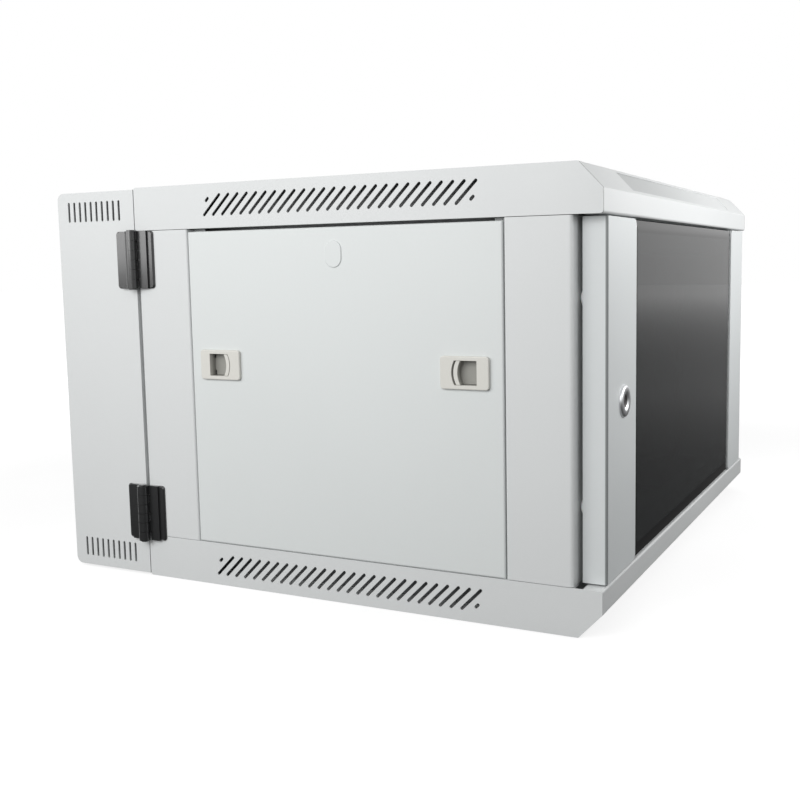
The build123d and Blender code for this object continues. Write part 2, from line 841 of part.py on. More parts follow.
with BuildPart() as strike_pin:
    with BuildSketch(Plane.YZ.offset(strike_x)):
        with Locations((strike_y, swing_lock_z)):
            Circle(strike_pin_radius)
    extrude(amount=-strike_pin_reach)
save(strike_pin, "swing_lock_strike_pin")


# Locks, each drawn on a plane that lies on the sheet and looks outward

door_lock_face = Plane(origin=(lock_x, front_y, lock_z), x_dir=(1, 0, 0), z_dir=(0, -1, 0))
swing_lock_face = Plane(origin=(half_width, swing_lock_y, swing_lock_z), x_dir=(0, 1, 0), z_dir=(1, 0, 0))
door_barrel = post_front_y + post_sheet + cam_gap - front_y - plug_stand
swing_barrel = half_width - hook_plane_x - plug_stand


def make_lock_body(face, barrel_length):
    """Bezel and barrel with the bore for the plug."""
    with BuildPart() as body:
        with BuildSketch(face):
            Circle(bezel_radius)
        extrude(amount=bezel_height)
        bezel_edge = body.faces().sort_by(Axis(face.origin, face.z_dir))[-1].edges()
        chamfer(bezel_edge, length=bezel_chamfer)
        with BuildSketch(face):
            Circle(barrel_radius)
        extrude(amount=-barrel_length)
        with BuildSketch(face.offset(bezel_height)):
            Circle(plug_radius + plug_clearance)
        extrude(amount=-bezel_height - barrel_length, mode=Mode.SUBTRACT)
    return body


def make_lock_plug(face, barrel_length):
    """Turning plug with its keyway."""
    with BuildPart() as plug:
        with BuildSketch(face.offset(bezel_height - plug_sink)):
            Circle(plug_radius)
        extrude(amount=-bezel_height + plug_sink - barrel_length - plug_stand)
        with BuildSketch(face.offset(bezel_height - plug_sink)):
            Rectangle(keyway_width, keyway_height)
        extrude(amount=-keyway_depth, mode=Mode.SUBTRACT)
    return plug


def make_lock_nut(face, sheet):
    """Nut on the barrel behind the sheet."""
    with BuildPart() as nut:
        with BuildSketch(face.offset(-sheet)):
            RegularPolygon(hexagon_radius(lock_nut_across), 6)
            Circle(barrel_radius + barrel_clearance, mode=Mode.SUBTRACT)
        extrude(amount=-lock_nut_height)
    return nut


save(make_lock_body(door_lock_face, door_barrel), "door_lock_body")
save(make_lock_plug(door_lock_face, door_barrel), "door_lock_plug")
save(make_lock_nut(door_lock_face, door_sheet), "door_lock_nut")
save(make_lock_body(swing_lock_face, swing_barrel), "swing_lock_body")
save(make_lock_plug(swing_lock_face, swing_barrel), "swing_lock_plug")
save(make_lock_nut(swing_lock_face, post_sheet), "swing_lock_nut")

with BuildPart() as door_cam:
    with BuildSketch(door_lock_face.offset(-door_barrel - plug_stand)):
        Circle(cam_width / 2)
        Rectangle(cam_width, cam_length, align=(Align.CENTER, Align.MAX))
    extrude(amount=-cam_sheet)
    fillet(door_cam.edges().filter_by(Axis.Y).group_by(Axis.Z)[0], radius=cam_corner)
save(door_cam, "door_lock_cam")

# The hook hangs down when unlocked. Its slot is an arc about the lock's axis, so the pin
# enters it as the hook turns up towards the wall.
slot_half = strike_pin_radius + strike_clearance
with BuildPart() as hook:
    with BuildSketch(swing_lock_face.offset(-swing_barrel - plug_stand)):
        with BuildLine():
            rim = CenterArc((0, 0), hook_radius + hook_arm, -90 - hook_trail, hook_lead + hook_trail)
            Line((0, 0), rim @ 0)
            Line((0, 0), rim @ 1)
        make_face()
        Circle(cam_width / 2)
        with BuildLine():
            outer = CenterArc((0, 0), hook_radius + slot_half, -90, 2 * hook_lead)
            inner = CenterArc((0, 0), hook_radius - slot_half, -90, 2 * hook_lead)
            Line(outer @ 0, inner @ 0)
            Line(outer @ 1, inner @ 1)
        make_face(mode=Mode.SUBTRACT)
        with Locations((0, -hook_radius)):
            Circle(slot_half, mode=Mode.SUBTRACT)
    extrude(amount=-cam_sheet)
save(hook, "swing_lock_hook")


# Door

def make_stile(lock_side):
    """Door edge channel, open to the rear, with lips for the bumpers and the glass."""
    outer_x = door_left if lock_side else door_right
    inner_x = glass_left if lock_side else glass_right
    inward = 1 if lock_side else -1
    width = abs(inner_x - outer_x)
    centre = ((outer_x + inner_x) / 2, (door_low_z + door_high_z) / 2)
    inner_pair = slice(-2, None) if lock_side else slice(0, 2)
    grow = (Align.MIN, Align.CENTER) if lock_side else (Align.MAX, Align.CENTER)
    with BuildPart() as stile:
        with BuildSketch(Plane.XZ.offset(-front_y)):
            with Locations(centre):
                Rectangle(width, door_high_z - door_low_z)
            fillet(vertices().sort_by(Axis.X)[inner_pair], radius=stile_corner)
        extrude(amount=-door_thickness)
        front_edges = stile.edges().filter_by(Axis.Z).group_by(Axis.Y)[0].sort_by(Axis.X)
        fillet(front_edges[0 if lock_side else -1], radius=stile_edge)
        with BuildSketch(Plane.XZ.offset(-front_y - door_sheet)):
            with Locations(centre):
                Rectangle(width - 2 * door_sheet, door_high_z - door_low_z - 2 * door_sheet)
            fillet(vertices().sort_by(Axis.X)[inner_pair], radius=stile_corner - door_sheet)
        extrude(amount=-door_thickness, mode=Mode.SUBTRACT)
        with BuildSketch(Plane.XZ.offset(-door_back_y)):
            with Locations((outer_x + inward * door_sheet, centre[1])):
                Rectangle(stile_rear_lip - door_sheet, door_high_z - door_low_z - 2 * door_sheet, align=grow)
        extrude(amount=door_sheet)
        with BuildSketch(Plane.XZ.offset(-tape_back_y)):
            with Locations((inner_x - inward * door_sheet, centre[1])):
                Rectangle(
                    stile_inner_lip + door_sheet,
                    door_high_z - door_low_z - 2 * (door_rail_height + 2 * door_rail_gap),
                    align=grow,
                )
        extrude(amount=-door_sheet)
        if lock_side:
            with BuildSketch(door_lock_face):
                Circle(barrel_radius + barrel_clearance)
            extrude(amount=-door_sheet * 2, mode=Mode.SUBTRACT)
        else:
            with BuildSketch(Plane.XY.offset(door_low_z)):
                with Locations((pivot_x, pivot_y)):
                    Circle(pivot_radius + pin_clearance)
            extrude(amount=door_high_z - door_low_z, mode=Mode.SUBTRACT)
    return stile


def make_door_rail(top):
    """Channel behind the glass between the stiles, open to the rear."""
    outer_z = door_high_z - door_rail_gap if top else door_low_z + door_rail_gap
    inner_z = outer_z - door_rail_height if top else outer_z + door_rail_height
    with BuildPart() as rail:
        with BuildSketch(Plane.YZ.offset(glass_left)):
            with BuildLine():
                FilletPolyline(
                    (door_back_y, outer_z),
                    (tape_back_y, outer_z),
                    (tape_back_y, inner_z),
                    (door_back_y, inner_z),
                    radius=fold_radius,
                )
                offset(amount=door_sheet, side=Side.LEFT if top else Side.RIGHT)
            make_face()
        extrude(amount=glass_right - glass_left)
    return rail


save(make_stile(True), "door_lock_stile")
save(make_stile(False), "door_hinge_stile")
save(make_door_rail(True), "door_rail_top")
save(make_door_rail(False), "door_rail_bottom")

glass_centre = ((glass_left + glass_right) / 2, (door_low_z + door_high_z) / 2)
glass_width = glass_right - glass_left - 2 * glass_side_gap
glass_height = door_high_z - door_low_z - 2 * glass_end_gap
with BuildPart() as glass:
    with BuildSketch(Plane.XZ.offset(-front_y - glass_sink)):
        with Locations(glass_centre):
            Rectangle(glass_width, glass_height)
    extrude(amount=-glass_thickness)
save(glass, "door_glass")

with BuildPart() as tape:
    with BuildSketch(Plane.XZ.offset(-glass_back_y)):
        with Locations(glass_centre):
            Rectangle(glass_width, glass_height)
            Rectangle(glass_width - 2 * tape_width, glass_height - 2 * tape_width, mode=Mode.SUBTRACT)
    extrude(amount=-tape_thickness)
save(tape, "door_glass_tape")

with BuildPart() as bumpers:
    with BuildSketch(Plane.XZ.offset(-door_back_y)):
        with Locations((bumper_x, bumper_upper_z), (bumper_x, bumper_lower_z)):
            Circle(bumper_radius)
    extrude(amount=-bumper_height)
    fillet(bumpers.edges().group_by(Axis.Y)[-1], radius=bumper_fillet)
save(bumpers, "door_bumpers")

with BuildPart() as pivots:
    for top in (True, False):
        into_door = -1 if top else 1
        flange_z = level(skirt_height - case_sheet, top)
        with BuildSketch(Plane.XY.offset(flange_z)):
            with Locations((pivot_x, pivot_y)):
                Circle(pivot_head_radius)
        extrude(amount=-into_door * pivot_head_height)
        with BuildSketch(Plane.XY.offset(flange_z)):
            with Locations((pivot_x, pivot_y)):
                Circle(pivot_radius)
        extrude(amount=into_door * (case_sheet + pivot_reach))
save(pivots, "door_pivots")

with BuildPart() as washer:
    with BuildSketch(Plane.XY.offset(skirt_height)):
        with Locations((pivot_x, pivot_y)):
            Circle(washer_radius)
            Circle(pivot_radius + pin_clearance, mode=Mode.SUBTRACT)
    extrude(amount=door_gap - washer_clearance)
save(washer, "door_pivot_washer")


# Side panels and their latches

latch_places = {"rear": 1, "front": -1}


def bowed_outline(crown, end, height):
    """Outline on the current sketch with its bowed edge towards the panel's centre, up to x = end."""
    with Locations((pocket_bow - crown, 0)):
        Circle(pocket_bow)
    with Locations((end, 0)):
        Rectangle(2 * pocket_bow, height, align=(Align.MAX, Align.CENTER), mode=Mode.INTERSECT)


def latch_plane(x, end):
    """Plane at depth x with its origin where the pocket is drawn from and its X axis towards the post."""
    way = latch_places[end]
    origin = (x, panel_centre_y + way * (latch_offset - pocket_shift), latch_z)
    return Plane(origin=origin, x_dir=(0, way, 0), z_dir=(1, 0, 0))


def make_panel():
    """Right-hand side panel: a shallow tray with two latch windows, two studs and a knock-out."""
    width = panel_rear_y - panel_front_y
    height = panel_high_z - panel_low_z
    centre = ((panel_front_y + panel_rear_y) / 2, (panel_low_z + panel_high_z) / 2)
    with BuildPart() as panel:
        with BuildSketch(Plane.YZ.offset(half_width)):
            with Locations(centre):
                Rectangle(width, height)
        extrude(amount=-panel_depth)
        fillet(panel.faces().sort_by(Axis.X)[-1].edges(), radius=panel_corner)
        with BuildSketch(Plane.YZ.offset(half_width - panel_sheet)):
            with Locations(centre):
                Rectangle(width - 2 * panel_sheet, height - 2 * panel_sheet)
        extrude(amount=-panel_depth, mode=Mode.SUBTRACT)
        with BuildSketch(Plane.YZ.offset(half_width - panel_sheet)):
            with Locations((panel_centre_y, knockout_z)):
                SlotOverall(knockout_height, knockout_width, rotation=90)
        extrude(amount=panel_sheet + knockout_rise)
        fillet(panel.faces().sort_by(Axis.X)[-1].edges(), radius=knockout_fillet)
        for end in latch_places:
            with BuildSketch(latch_plane(half_width, end)):
                with Locations((pocket_shift, 0)):
                    Rectangle(latch_length - 2 * latch_border, latch_height - 2 * latch_border)
            extrude(amount=-panel_sheet * 2, mode=Mode.SUBTRACT)
        with BuildSketch(Plane.XZ.offset(-panel_centre_y)):
            with Locations((slider_mid_x, latch_z)):
                Rectangle(slider_sheet + 2 * bolt_clearance, bolt_width + 2 * bolt_clearance)
        extrude(amount=width, both=True, mode=Mode.SUBTRACT)
        stud_end_x = ledge_x - post_sheet - stud_tip
        with BuildSketch(Plane.YZ.offset(half_width - panel_sheet)):
            with Locations((opening_front_y + stud_inset, stud_z), (opening_rear_y - stud_inset, stud_z)):
                Circle(stud_radius)
        extrude(amount=stud_end_x - half_width + panel_sheet)
    return panel


def make_latch_housings():
    """Face plates and boxes of the two latches on the right-hand panel."""
    box_length = latch_length - 2 * latch_border
    box_height = latch_height - 2 * latch_border
    channel_x = slider_back_x - latch_clearance
    channel_depth = slider_sheet + 2 * latch_clearance
    with BuildPart() as housings:
        for end in latch_places:
            with BuildSketch(latch_plane(half_width, end)):
                with Locations((pocket_shift, 0)):
                    RectangleRounded(latch_length, latch_height, latch_corner)
            extrude(amount=latch_proud)
        fillet(housings.faces().filter_by(Axis.X).group_by(Axis.X)[-1].edges(), radius=latch_edge)
        for end in latch_places:
            with BuildSketch(latch_plane(half_width, end)):
                with Locations((pocket_shift, 0)):
                    Rectangle(box_length, box_height)
            extrude(amount=-latch_depth)
            with BuildSketch(latch_plane(channel_x, end)):
                with Locations((pocket_shift, 0)):
                    Rectangle(box_length - 2 * latch_wall, pocket_height)
                with Locations((pocket_shift, 0)):
                    Rectangle(
                        latch_length,
                        bolt_width + 2 * latch_clearance,
                        align=(Align.MIN, Align.CENTER),
                    )
            extrude(amount=channel_depth, mode=Mode.SUBTRACT)
            with BuildSketch(latch_plane(channel_x + channel_depth, end)):
                bowed_outline(pocket_crown, pocket_reach + pocket_shift, pocket_height)
            extrude(amount=latch_depth + latch_proud, mode=Mode.SUBTRACT)
    return housings


def make_latch_slider(end):
    """Slider of one latch: plate, bowed finger grip and bolt, drawn unlocked."""
    grip_height = pocket_height - 2 * latch_clearance
    grip_crown = pocket_crown - grip_gap
    plate_start = pocket_crown + grip_gap
    bolt_tip = panel_rear_y - panel_centre_y - bolt_retreat - latch_offset + pocket_shift
    channel_end = pocket_shift + latch_length / 2 - latch_border - latch_wall
    plate_length = plate_start + channel_end - latch_travel - latch_clearance
    with BuildPart() as slider:
        with BuildSketch(latch_plane(slider_back_x, end)):
            with Locations((-plate_start, 0)):
                Rectangle(plate_length, grip_height, align=(Align.MIN, Align.CENTER))
            Rectangle(bolt_tip, bolt_width, align=(Align.MIN, Align.CENTER))
        extrude(amount=slider_sheet)
        with BuildSketch(latch_plane(slider_back_x, end)):
            bowed_outline(grip_crown, grip_thickness, grip_height)
            with Locations((pocket_bow - grip_crown + grip_thickness, 0)):
                Circle(pocket_bow, mode=Mode.SUBTRACT)
        extrude(amount=half_width + latch_proud - grip_sink - slider_back_x)
    return slider


side_panel = make_panel()
save(side_panel, "side_panel_right")
save(mirrored(side_panel), "side_panel_left")
latch_housings = make_latch_housings()
save(latch_housings, "latch_housings_right")
save(mirrored(latch_housings), "latch_housings_left")
for end in latch_places:
    slider = make_latch_slider(end)
    save(slider, f"latch_slider_right_{end}")
    save(mirrored(slider), f"latch_slider_left_{end}")
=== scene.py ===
"""Finishes, fine pieces, light and camera for the hinged double-section wall rack cabinet."""
import logging
import math
from dataclasses import dataclass, replace
from enum import Enum
from typing import Any, Dict, List, Optional, Sequence, Tuple

import bpy
import numpy as np
from mathutils import Matrix, Vector


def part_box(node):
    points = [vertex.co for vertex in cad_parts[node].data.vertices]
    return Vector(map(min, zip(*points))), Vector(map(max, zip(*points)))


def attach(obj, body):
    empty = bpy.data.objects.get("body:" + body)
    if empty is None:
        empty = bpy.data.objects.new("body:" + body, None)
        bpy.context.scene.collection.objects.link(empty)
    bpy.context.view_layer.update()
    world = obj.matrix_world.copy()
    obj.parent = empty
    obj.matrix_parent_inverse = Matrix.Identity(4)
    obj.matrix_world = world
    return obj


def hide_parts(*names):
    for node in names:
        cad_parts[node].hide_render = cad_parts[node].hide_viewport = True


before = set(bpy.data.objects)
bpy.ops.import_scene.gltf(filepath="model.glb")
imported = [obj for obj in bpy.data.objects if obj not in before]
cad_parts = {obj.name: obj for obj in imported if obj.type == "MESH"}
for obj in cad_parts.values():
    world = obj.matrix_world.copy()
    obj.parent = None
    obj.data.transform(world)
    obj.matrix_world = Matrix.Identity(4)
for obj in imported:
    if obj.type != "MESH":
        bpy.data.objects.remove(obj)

LOG = logging.getLogger("wall_cabinet")

Colour = Tuple[float, float, float]
Point = Tuple[float, float, float]
Span = Tuple[float, float]
Socket = bpy.types.NodeSocket

MM = 0.001
QUARTER_TURN = math.pi / 2.0
FULL_TURN = 2.0 * math.pi
SIDES = ("left", "right")
ENDS = ("front", "rear")
LEVELS = ("top", "bottom")


class Ray(Enum):
    """Outputs of the Light Path node that tell what looks at a surface."""

    CAMERA = "Is Camera Ray"
    GLOSSY = "Is Glossy Ray"
    TRANSMISSION = "Is Transmission Ray"


# Shader wiring


class Wiring:
    """Adds and joins the nodes of one shader tree."""

    def __init__(self, tree: bpy.types.NodeTree) -> None:
        """Keep the tree that the nodes go into."""
        self.tree = tree

    def add(
        self, kind: str, inputs: Optional[Dict[Any, Any]] = None, **options: Any
    ) -> bpy.types.Node:
        """Add one node.

        Args:
            kind: the node's type name.
            inputs: values or sockets for its inputs, by name or place.
            options: the node's own settings.

        Returns:
            The new node.
        """
        node = self.tree.nodes.new(kind)
        for name, value in options.items():
            setattr(node, name, value)
        for key, value in (inputs or {}).items():
            self.feed(node.inputs[key], value)
        return node

    def feed(self, place: Socket, value: Any) -> None:
        """Give an input a value, or a link where the value is a socket.

        Args:
            place: the input's socket.
            value: the value or socket.
        """
        if isinstance(value, Socket):
            self.tree.links.new(value, place)
        else:
            place.default_value = value

    def math(self, operation: str, first: Any, second: Any = 0.0) -> Socket:
        """Result of a Math node for one or two values or sockets."""
        return self.add("ShaderNodeMath", {0: first, 1: second}, operation=operation).outputs[0]

    def spread(self, value: Any, low: Any, high: Any, start: float, end: float) -> Socket:
        """Carry a value from one range to another, smoothly.

        Args:
            value: the socket that is mapped.
            low: its lower end.
            high: its upper end.
            start: the result at the lower end.
            end: the result at the upper end.

        Returns:
            The result's socket.
        """
        ends = {"Value": value, "From Min": low, "From Max": high, "To Min": start, "To Max": end}
        node = self.add("ShaderNodeMapRange", ends, interpolation_type="SMOOTHSTEP")
        return node.outputs["Result"]

    def noise(self, vector: Socket, count: Any, detail: float) -> Socket:
        """Noise on the coordinates, by its features per metre and its octaves."""
        inputs = {"Vector": vector, "Scale": count, "Detail": detail}
        return self.add("ShaderNodeTexNoise", inputs).outputs[0]

    def tint(self, factor: Any, first: Any, second: Any) -> Socket:
        """Mix two colours.

        Args:
            factor: share of the second colour.
            first: first colour or socket.
            second: second colour or socket.

        Returns:
            The mixed colour's socket.
        """
        node = self.add("ShaderNodeMix", {"Factor": factor}, data_type="RGBA")
        for name, value in (("A_Color", first), ("B_Color", second)):
            self.feed([s for s in node.inputs if s.identifier == name][0], value)
        return [s for s in node.outputs if s.identifier == "Result_Color"][0]


def opaque(colour: Colour) -> Tuple[float, float, float, float]:
    """Colour with full alpha."""
    return (*colour, 1.0)


def bare_wiring(owner: Any) -> Wiring:
    """Empty the shader tree of a new material or world.

    Args:
        owner: the material or world.

    Returns:
        The tree's wiring.
    """
    owner.use_nodes = True
    owner.node_tree.nodes.clear()
    return Wiring(owner.node_tree)


BLACK, WHITE = opaque((0.0, 0.0, 0.0)), opaque((1.0, 1.0, 1.0))
VECTOR_IN = ("Vector", "NodeSocketVector", None)
COLOUR_IN = ("Color", "NodeSocketColor", opaque((0.8, 0.8, 0.8)))
COLOUR_OUT = ("Color", "NodeSocketColor")
HEIGHT_OUT = ("Height", "NodeSocketFloat")


class Effect:
    """A shader group that several finishes share, built once."""

    name = "effect"
    takes: Sequence[Tuple[str, str, Any]] = ()
    gives: Sequence[Tuple[str, str]] = ()
    made: Dict[str, bpy.types.NodeTree] = {}

    def fill(self, wiring: Wiring, source: bpy.types.Node) -> Dict[str, Socket]:
        """Wire the group's inside and give the socket of each output."""
        raise NotImplementedError

    def tree(self) -> bpy.types.NodeTree:
        """Make the group, or give the one that is there.

        Returns:
            The shader group.
        """
        if self.name in Effect.made:
            return Effect.made[self.name]
        group = bpy.data.node_groups.new(self.name, "ShaderNodeTree")
        for name, kind, value in self.takes:
            socket = group.interface.new_socket(name, in_out="INPUT", socket_type=kind)
            if value is not None:
                socket.default_value = value
        for name, kind in self.gives:
            group.interface.new_socket(name, in_out="OUTPUT", socket_type=kind)
        wiring = Wiring(group)
        source = wiring.add("NodeGroupInput")
        result = wiring.add("NodeGroupOutput")
        for name, socket in self.fill(wiring, source).items():
            group.links.new(socket, result.inputs[name])
        Effect.made[self.name] = group
        return group

    def place(self, wiring: Wiring, inputs: Dict[str, Any]) -> bpy.types.Node:
        """Put the group into a material, with values or sockets for its inputs."""
        return wiring.add("ShaderNodeGroup", inputs, node_tree=self.tree())


class FineRelief(Effect):
    """Small bumps of a sprayed, cast or moulded surface.

    The height is the main share of a noise at the given count per metre, and the rest of it
    is a noise that is finer.
    """

    name = "fine_relief"
    takes = (VECTOR_IN, ("Count", "NodeSocketFloat", 700.0))
    gives = (HEIGHT_OUT,)
    finer = 3.0
    main_share = 0.7

    def fill(self, wiring: Wiring, source: bpy.types.Node) -> Dict[str, Socket]:
        """Wire the two noises.

        Args:
            wiring: the group's wiring.
            source: the group's input node.

        Returns:
            The output sockets by name.
        """
        vector, count = source.outputs["Vector"], source.outputs["Count"]
        coarse = wiring.noise(vector, count, 1.0)
        fine = wiring.noise(vector, wiring.math("MULTIPLY", count, self.finer), 0.0)
        large = wiring.math("MULTIPLY", coarse, self.main_share)
        small = wiring.math("MULTIPLY", fine, 1.0 - self.main_share)
        return {"Height": wiring.math("ADD", large, small)}


class ToneDrift(Effect):
    """Slight lighter and darker areas in a coat.

    The colour is multiplied by 1 plus a broad noise and a fine noise, each centred on 0.
    """

    name = "tone_drift"
    takes = (
        VECTOR_IN,
        COLOUR_IN,
        ("Broad", "NodeSocketFloat", 0.03),
        ("Fine", "NodeSocketFloat", 0.02),
    )
    gives = (COLOUR_OUT, ("Drift", "NodeSocketFloat"))
    broad_count = 5.0
    fine_count = 420.0
    detail = 2.0
    centre = 0.5

    def fill(self, wiring: Wiring, source: bpy.types.Node) -> Dict[str, Socket]:
        """Wire the noises and the multiplication.

        Args:
            wiring: the group's wiring.
            source: the group's input node.

        Returns:
            The output sockets by name.
        """
        vector = source.outputs["Vector"]
        broad = wiring.noise(vector, self.broad_count, self.detail)
        fine = wiring.noise(vector, self.fine_count, self.detail)
        factor = 1.0
        for noise, amount in ((broad, "Broad"), (fine, "Fine")):
            centred = wiring.math("SUBTRACT", noise, self.centre)
            part = wiring.math("MULTIPLY", centred, source.outputs[amount])
            factor = wiring.math("ADD", part, factor)
        inputs = {0: source.outputs["Color"], "Scale": factor}
        scaled = wiring.add("ShaderNodeVectorMath", inputs, operation="SCALE")
        return {"Color": scaled.outputs[0], "Drift": broad}


class SettledDust(Effect):
    """Thin dust on surfaces that face up.

    The mask is the normal's upward part times a noise, times the amount.
    """

    name = "settled_dust"
    takes = (VECTOR_IN, COLOUR_IN, ("Amount", "NodeSocketFloat", 0.1))
    gives = (COLOUR_OUT,)
    colour = (0.42, 0.40, 0.37)
    upward_start = 0.3
    speck_count = 60.0
    speck_detail = 6.0
    speck_span = (0.35, 0.7)
    thinnest = 0.2

    def fill(self, wiring: Wiring, source: bpy.types.Node) -> Dict[str, Socket]:
        """Wire the mask and the mix.

        Args:
            wiring: the group's wiring.
            source: the group's input node.

        Returns:
            The output sockets by name.
        """
        shape = wiring.add("ShaderNodeNewGeometry")
        parts = wiring.add("ShaderNodeSeparateXYZ", {0: shape.outputs["Normal"]})
        upward = wiring.spread(parts.outputs["Z"], self.upward_start, 1.0, 0.0, 1.0)
        specks = wiring.noise(source.outputs["Vector"], self.speck_count, self.speck_detail)
        patchy = wiring.spread(specks, *self.speck_span, self.thinnest, 1.0)
        shape_mask = wiring.math("MULTIPLY", upward, patchy)
        mask = wiring.math("MULTIPLY", shape_mask, source.outputs["Amount"])
        return {"Color": wiring.tint(mask, source.outputs["Color"], opaque(self.colour))}


class DrawnLines(Effect):
    """Fine parallel lines of rolled sheet.

    A noise is read on coordinates that are stretched along the lines.
    """

    name = "drawn_lines"
    takes = (VECTOR_IN, ("Stretch", "NodeSocketVector", None))
    gives = (HEIGHT_OUT,)
    count = 8.0
    detail = 4.0

    def fill(self, wiring: Wiring, source: bpy.types.Node) -> Dict[str, Socket]:
        """Wire the stretched noise.

        Args:
            wiring: the group's wiring.
            source: the group's input node.

        Returns:
            The output sockets by name.
        """
        inputs = {0: source.outputs["Vector"], 1: source.outputs["Stretch"]}
        stretched = wiring.add("ShaderNodeVectorMath", inputs, operation="MULTIPLY")
        return {"Height": wiring.noise(stretched.outputs[0], self.count, self.detail)}


class FoldPaintedShade(Effect):
    """Painted shade: a darker line along an upright fold.

    The mask falls from 1 in the line's core to 0 at its reach, by the distance in plan.
    """

    name = "fold_painted_shade"
    takes = (
        VECTOR_IN,
        COLOUR_IN,
        ("Axis", "NodeSocketVector", None),
        ("Reach", "NodeSocketFloat", 0.001),
        ("Depth", "NodeSocketFloat", 0.5),
    )
    gives = (COLOUR_OUT,)
    # colour of the painted shade in the fold
    colour = (0.10, 0.11, 0.11)
    core = 0.75
    plan = (1.0, 1.0, 0.0)

    def fill(self, wiring: Wiring, source: bpy.types.Node) -> Dict[str, Socket]:
        """Wire the distance and the painted shade.

        Args:
            wiring: the group's wiring.
            source: the group's input node.

        Returns:
            The output sockets by name.
        """
        kind = "ShaderNodeVectorMath"
        ends = {0: source.outputs["Vector"], 1: source.outputs["Axis"]}
        away = wiring.add(kind, ends, operation="SUBTRACT")
        flat = wiring.add(kind, {0: away.outputs[0], 1: self.plan}, operation="MULTIPLY")
        distance = wiring.add(kind, {0: flat.outputs[0]}, operation="LENGTH")
        share = wiring.math("DIVIDE", distance.outputs["Value"], source.outputs["Reach"])
        near = wiring.spread(share, self.core, 1.0, 1.0, 0.0)
        mask = wiring.math("MULTIPLY", near, source.outputs["Depth"])
        return {"Color": wiring.tint(mask, source.outputs["Color"], opaque(self.colour))}


class AcrossPaintedShade(Effect):
    """Painted shade: a darker colour between two distances from the cabinet's middle plane.

    The mask rises smoothly from 0 at the first distance to 1 at the second.
    """

    name = "across_painted_shade"
    takes = (
        VECTOR_IN,
        COLOUR_IN,
        ("Start", "NodeSocketFloat", 0.0),
        ("End", "NodeSocketFloat", 1.0),
        ("Depth", "NodeSocketFloat", 0.5),
    )
    gives = (COLOUR_OUT,)
    # colour of the painted shade
    colour = (0.055, 0.056, 0.045)

    def fill(self, wiring: Wiring, source: bpy.types.Node) -> Dict[str, Socket]:
        """Wire the distance and the painted shade.

        Args:
            wiring: the group's wiring.
            source: the group's input node.

        Returns:
            The output sockets by name.
        """
        parts = wiring.add("ShaderNodeSeparateXYZ", {0: source.outputs["Vector"]})
        away = wiring.math("ABSOLUTE", parts.outputs["X"])
        near = wiring.spread(away, source.outputs["Start"], source.outputs["End"], 0.0, 1.0)
        mask = wiring.math("MULTIPLY", near, source.outputs["Depth"])
        return {"Color": wiring.tint(mask, source.outputs["Color"], opaque(self.colour))}


RELIEF, DRIFT, DUST, LINES = FineRelief(), ToneDrift(), SettledDust(), DrawnLines()
# groups that paint shade into fold lines and across bands
FOLD, ACROSS_PAINTED_SHADE = FoldPaintedShade(), AcrossPaintedShade()


# Finishes


@dataclass(frozen=True)
class Finish:
    """Common part of every finish: a colour that drifts a little and a relief.

    The relief has a count of bumps per metre and a depth in metres. The roughness goes from
    its low to its high value as the drift crosses its span.
    """

    name: str
    colour: Colour
    rough_low: float
    rough_high: float
    broad: float = 0.03
    fine: float = 0.02
    count: float = 700.0
    depth: float = 0.00002
    metallic: float = 0.0
    dust: float = 0.0
    drift_span: Span = (0.3, 0.7)

    def settings(self) -> Dict[str, float]:
        """Values of the shader that are the same all over."""
        return {}

    def recolour(self, wiring: Wiring, vector: Socket, colour: Socket) -> Socket:
        """Change the drifted colour where a finish has more to show."""
        return colour

    def height(self, wiring: Wiring, vector: Socket) -> Socket:
        """Relief of the surface, from 0 to 1."""
        return RELIEF.place(wiring, {"Vector": vector, "Count": self.count}).outputs["Height"]

    def material(self) -> bpy.types.Material:
        """Make the finish's material.

        Returns:
            The material, with its own shader.
        """
        material = bpy.data.materials.new(self.name)
        wiring = bare_wiring(material)
        vector = wiring.add("ShaderNodeTexCoord").outputs["Object"]
        amounts = {"Color": opaque(self.colour), "Broad": self.broad, "Fine": self.fine}
        drift = DRIFT.place(wiring, {"Vector": vector, **amounts})
        colour = drift.outputs["Color"]
        if self.dust:
            inputs = {"Vector": vector, "Color": colour, "Amount": self.dust}
            colour = DUST.place(wiring, inputs).outputs["Color"]
        relief = {"Height": self.height(wiring, vector), "Strength": 1.0, "Distance": self.depth}
        surface = {
            "Base Color": self.recolour(wiring, vector, colour),
            "Roughness": wiring.spread(
                drift.outputs["Drift"], *self.drift_span, self.rough_low, self.rough_high
            ),
            "Normal": wiring.add("ShaderNodeBump", relief).outputs[0],
            "Metallic": self.metallic,
            **self.settings(),
        }
        shader = wiring.add("ShaderNodeBsdfPrincipled", surface)
        wiring.add("ShaderNodeOutputMaterial", {"Surface": shader.outputs[0]})
        return material


@dataclass(frozen=True)
class PowderCoat(Finish):
    """Satin powder coat on sheet steel, with a soft orange-peel relief and painted shade along a
    fold where one is given.
    """

    count: float = 900.0
    depth: float = 0.000012
    fold: Optional[Point] = None
    fold_reach: float = 0.0016
    fold_shade_depth: float = 0.8

    def recolour(self, wiring: Wiring, vector: Socket, colour: Socket) -> Socket:
        """Paint shade into the coat along a tight fold.

        Args:
            wiring: the material's wiring.
            vector: the surface coordinates.
            colour: the coat's colour so far.

        Returns:
            The colour's socket.
        """
        if self.fold is None:
            return colour
        reach = {"Axis": self.fold, "Reach": self.fold_reach, "Depth": self.fold_shade_depth}
        return FOLD.place(wiring, {"Vector": vector, "Color": colour, **reach}).outputs["Color"]

    def settings(self) -> Dict[str, float]:
        """Values of a plain coat without a clear layer."""
        return {"Specular IOR Level": 0.5, "IOR": 1.5}


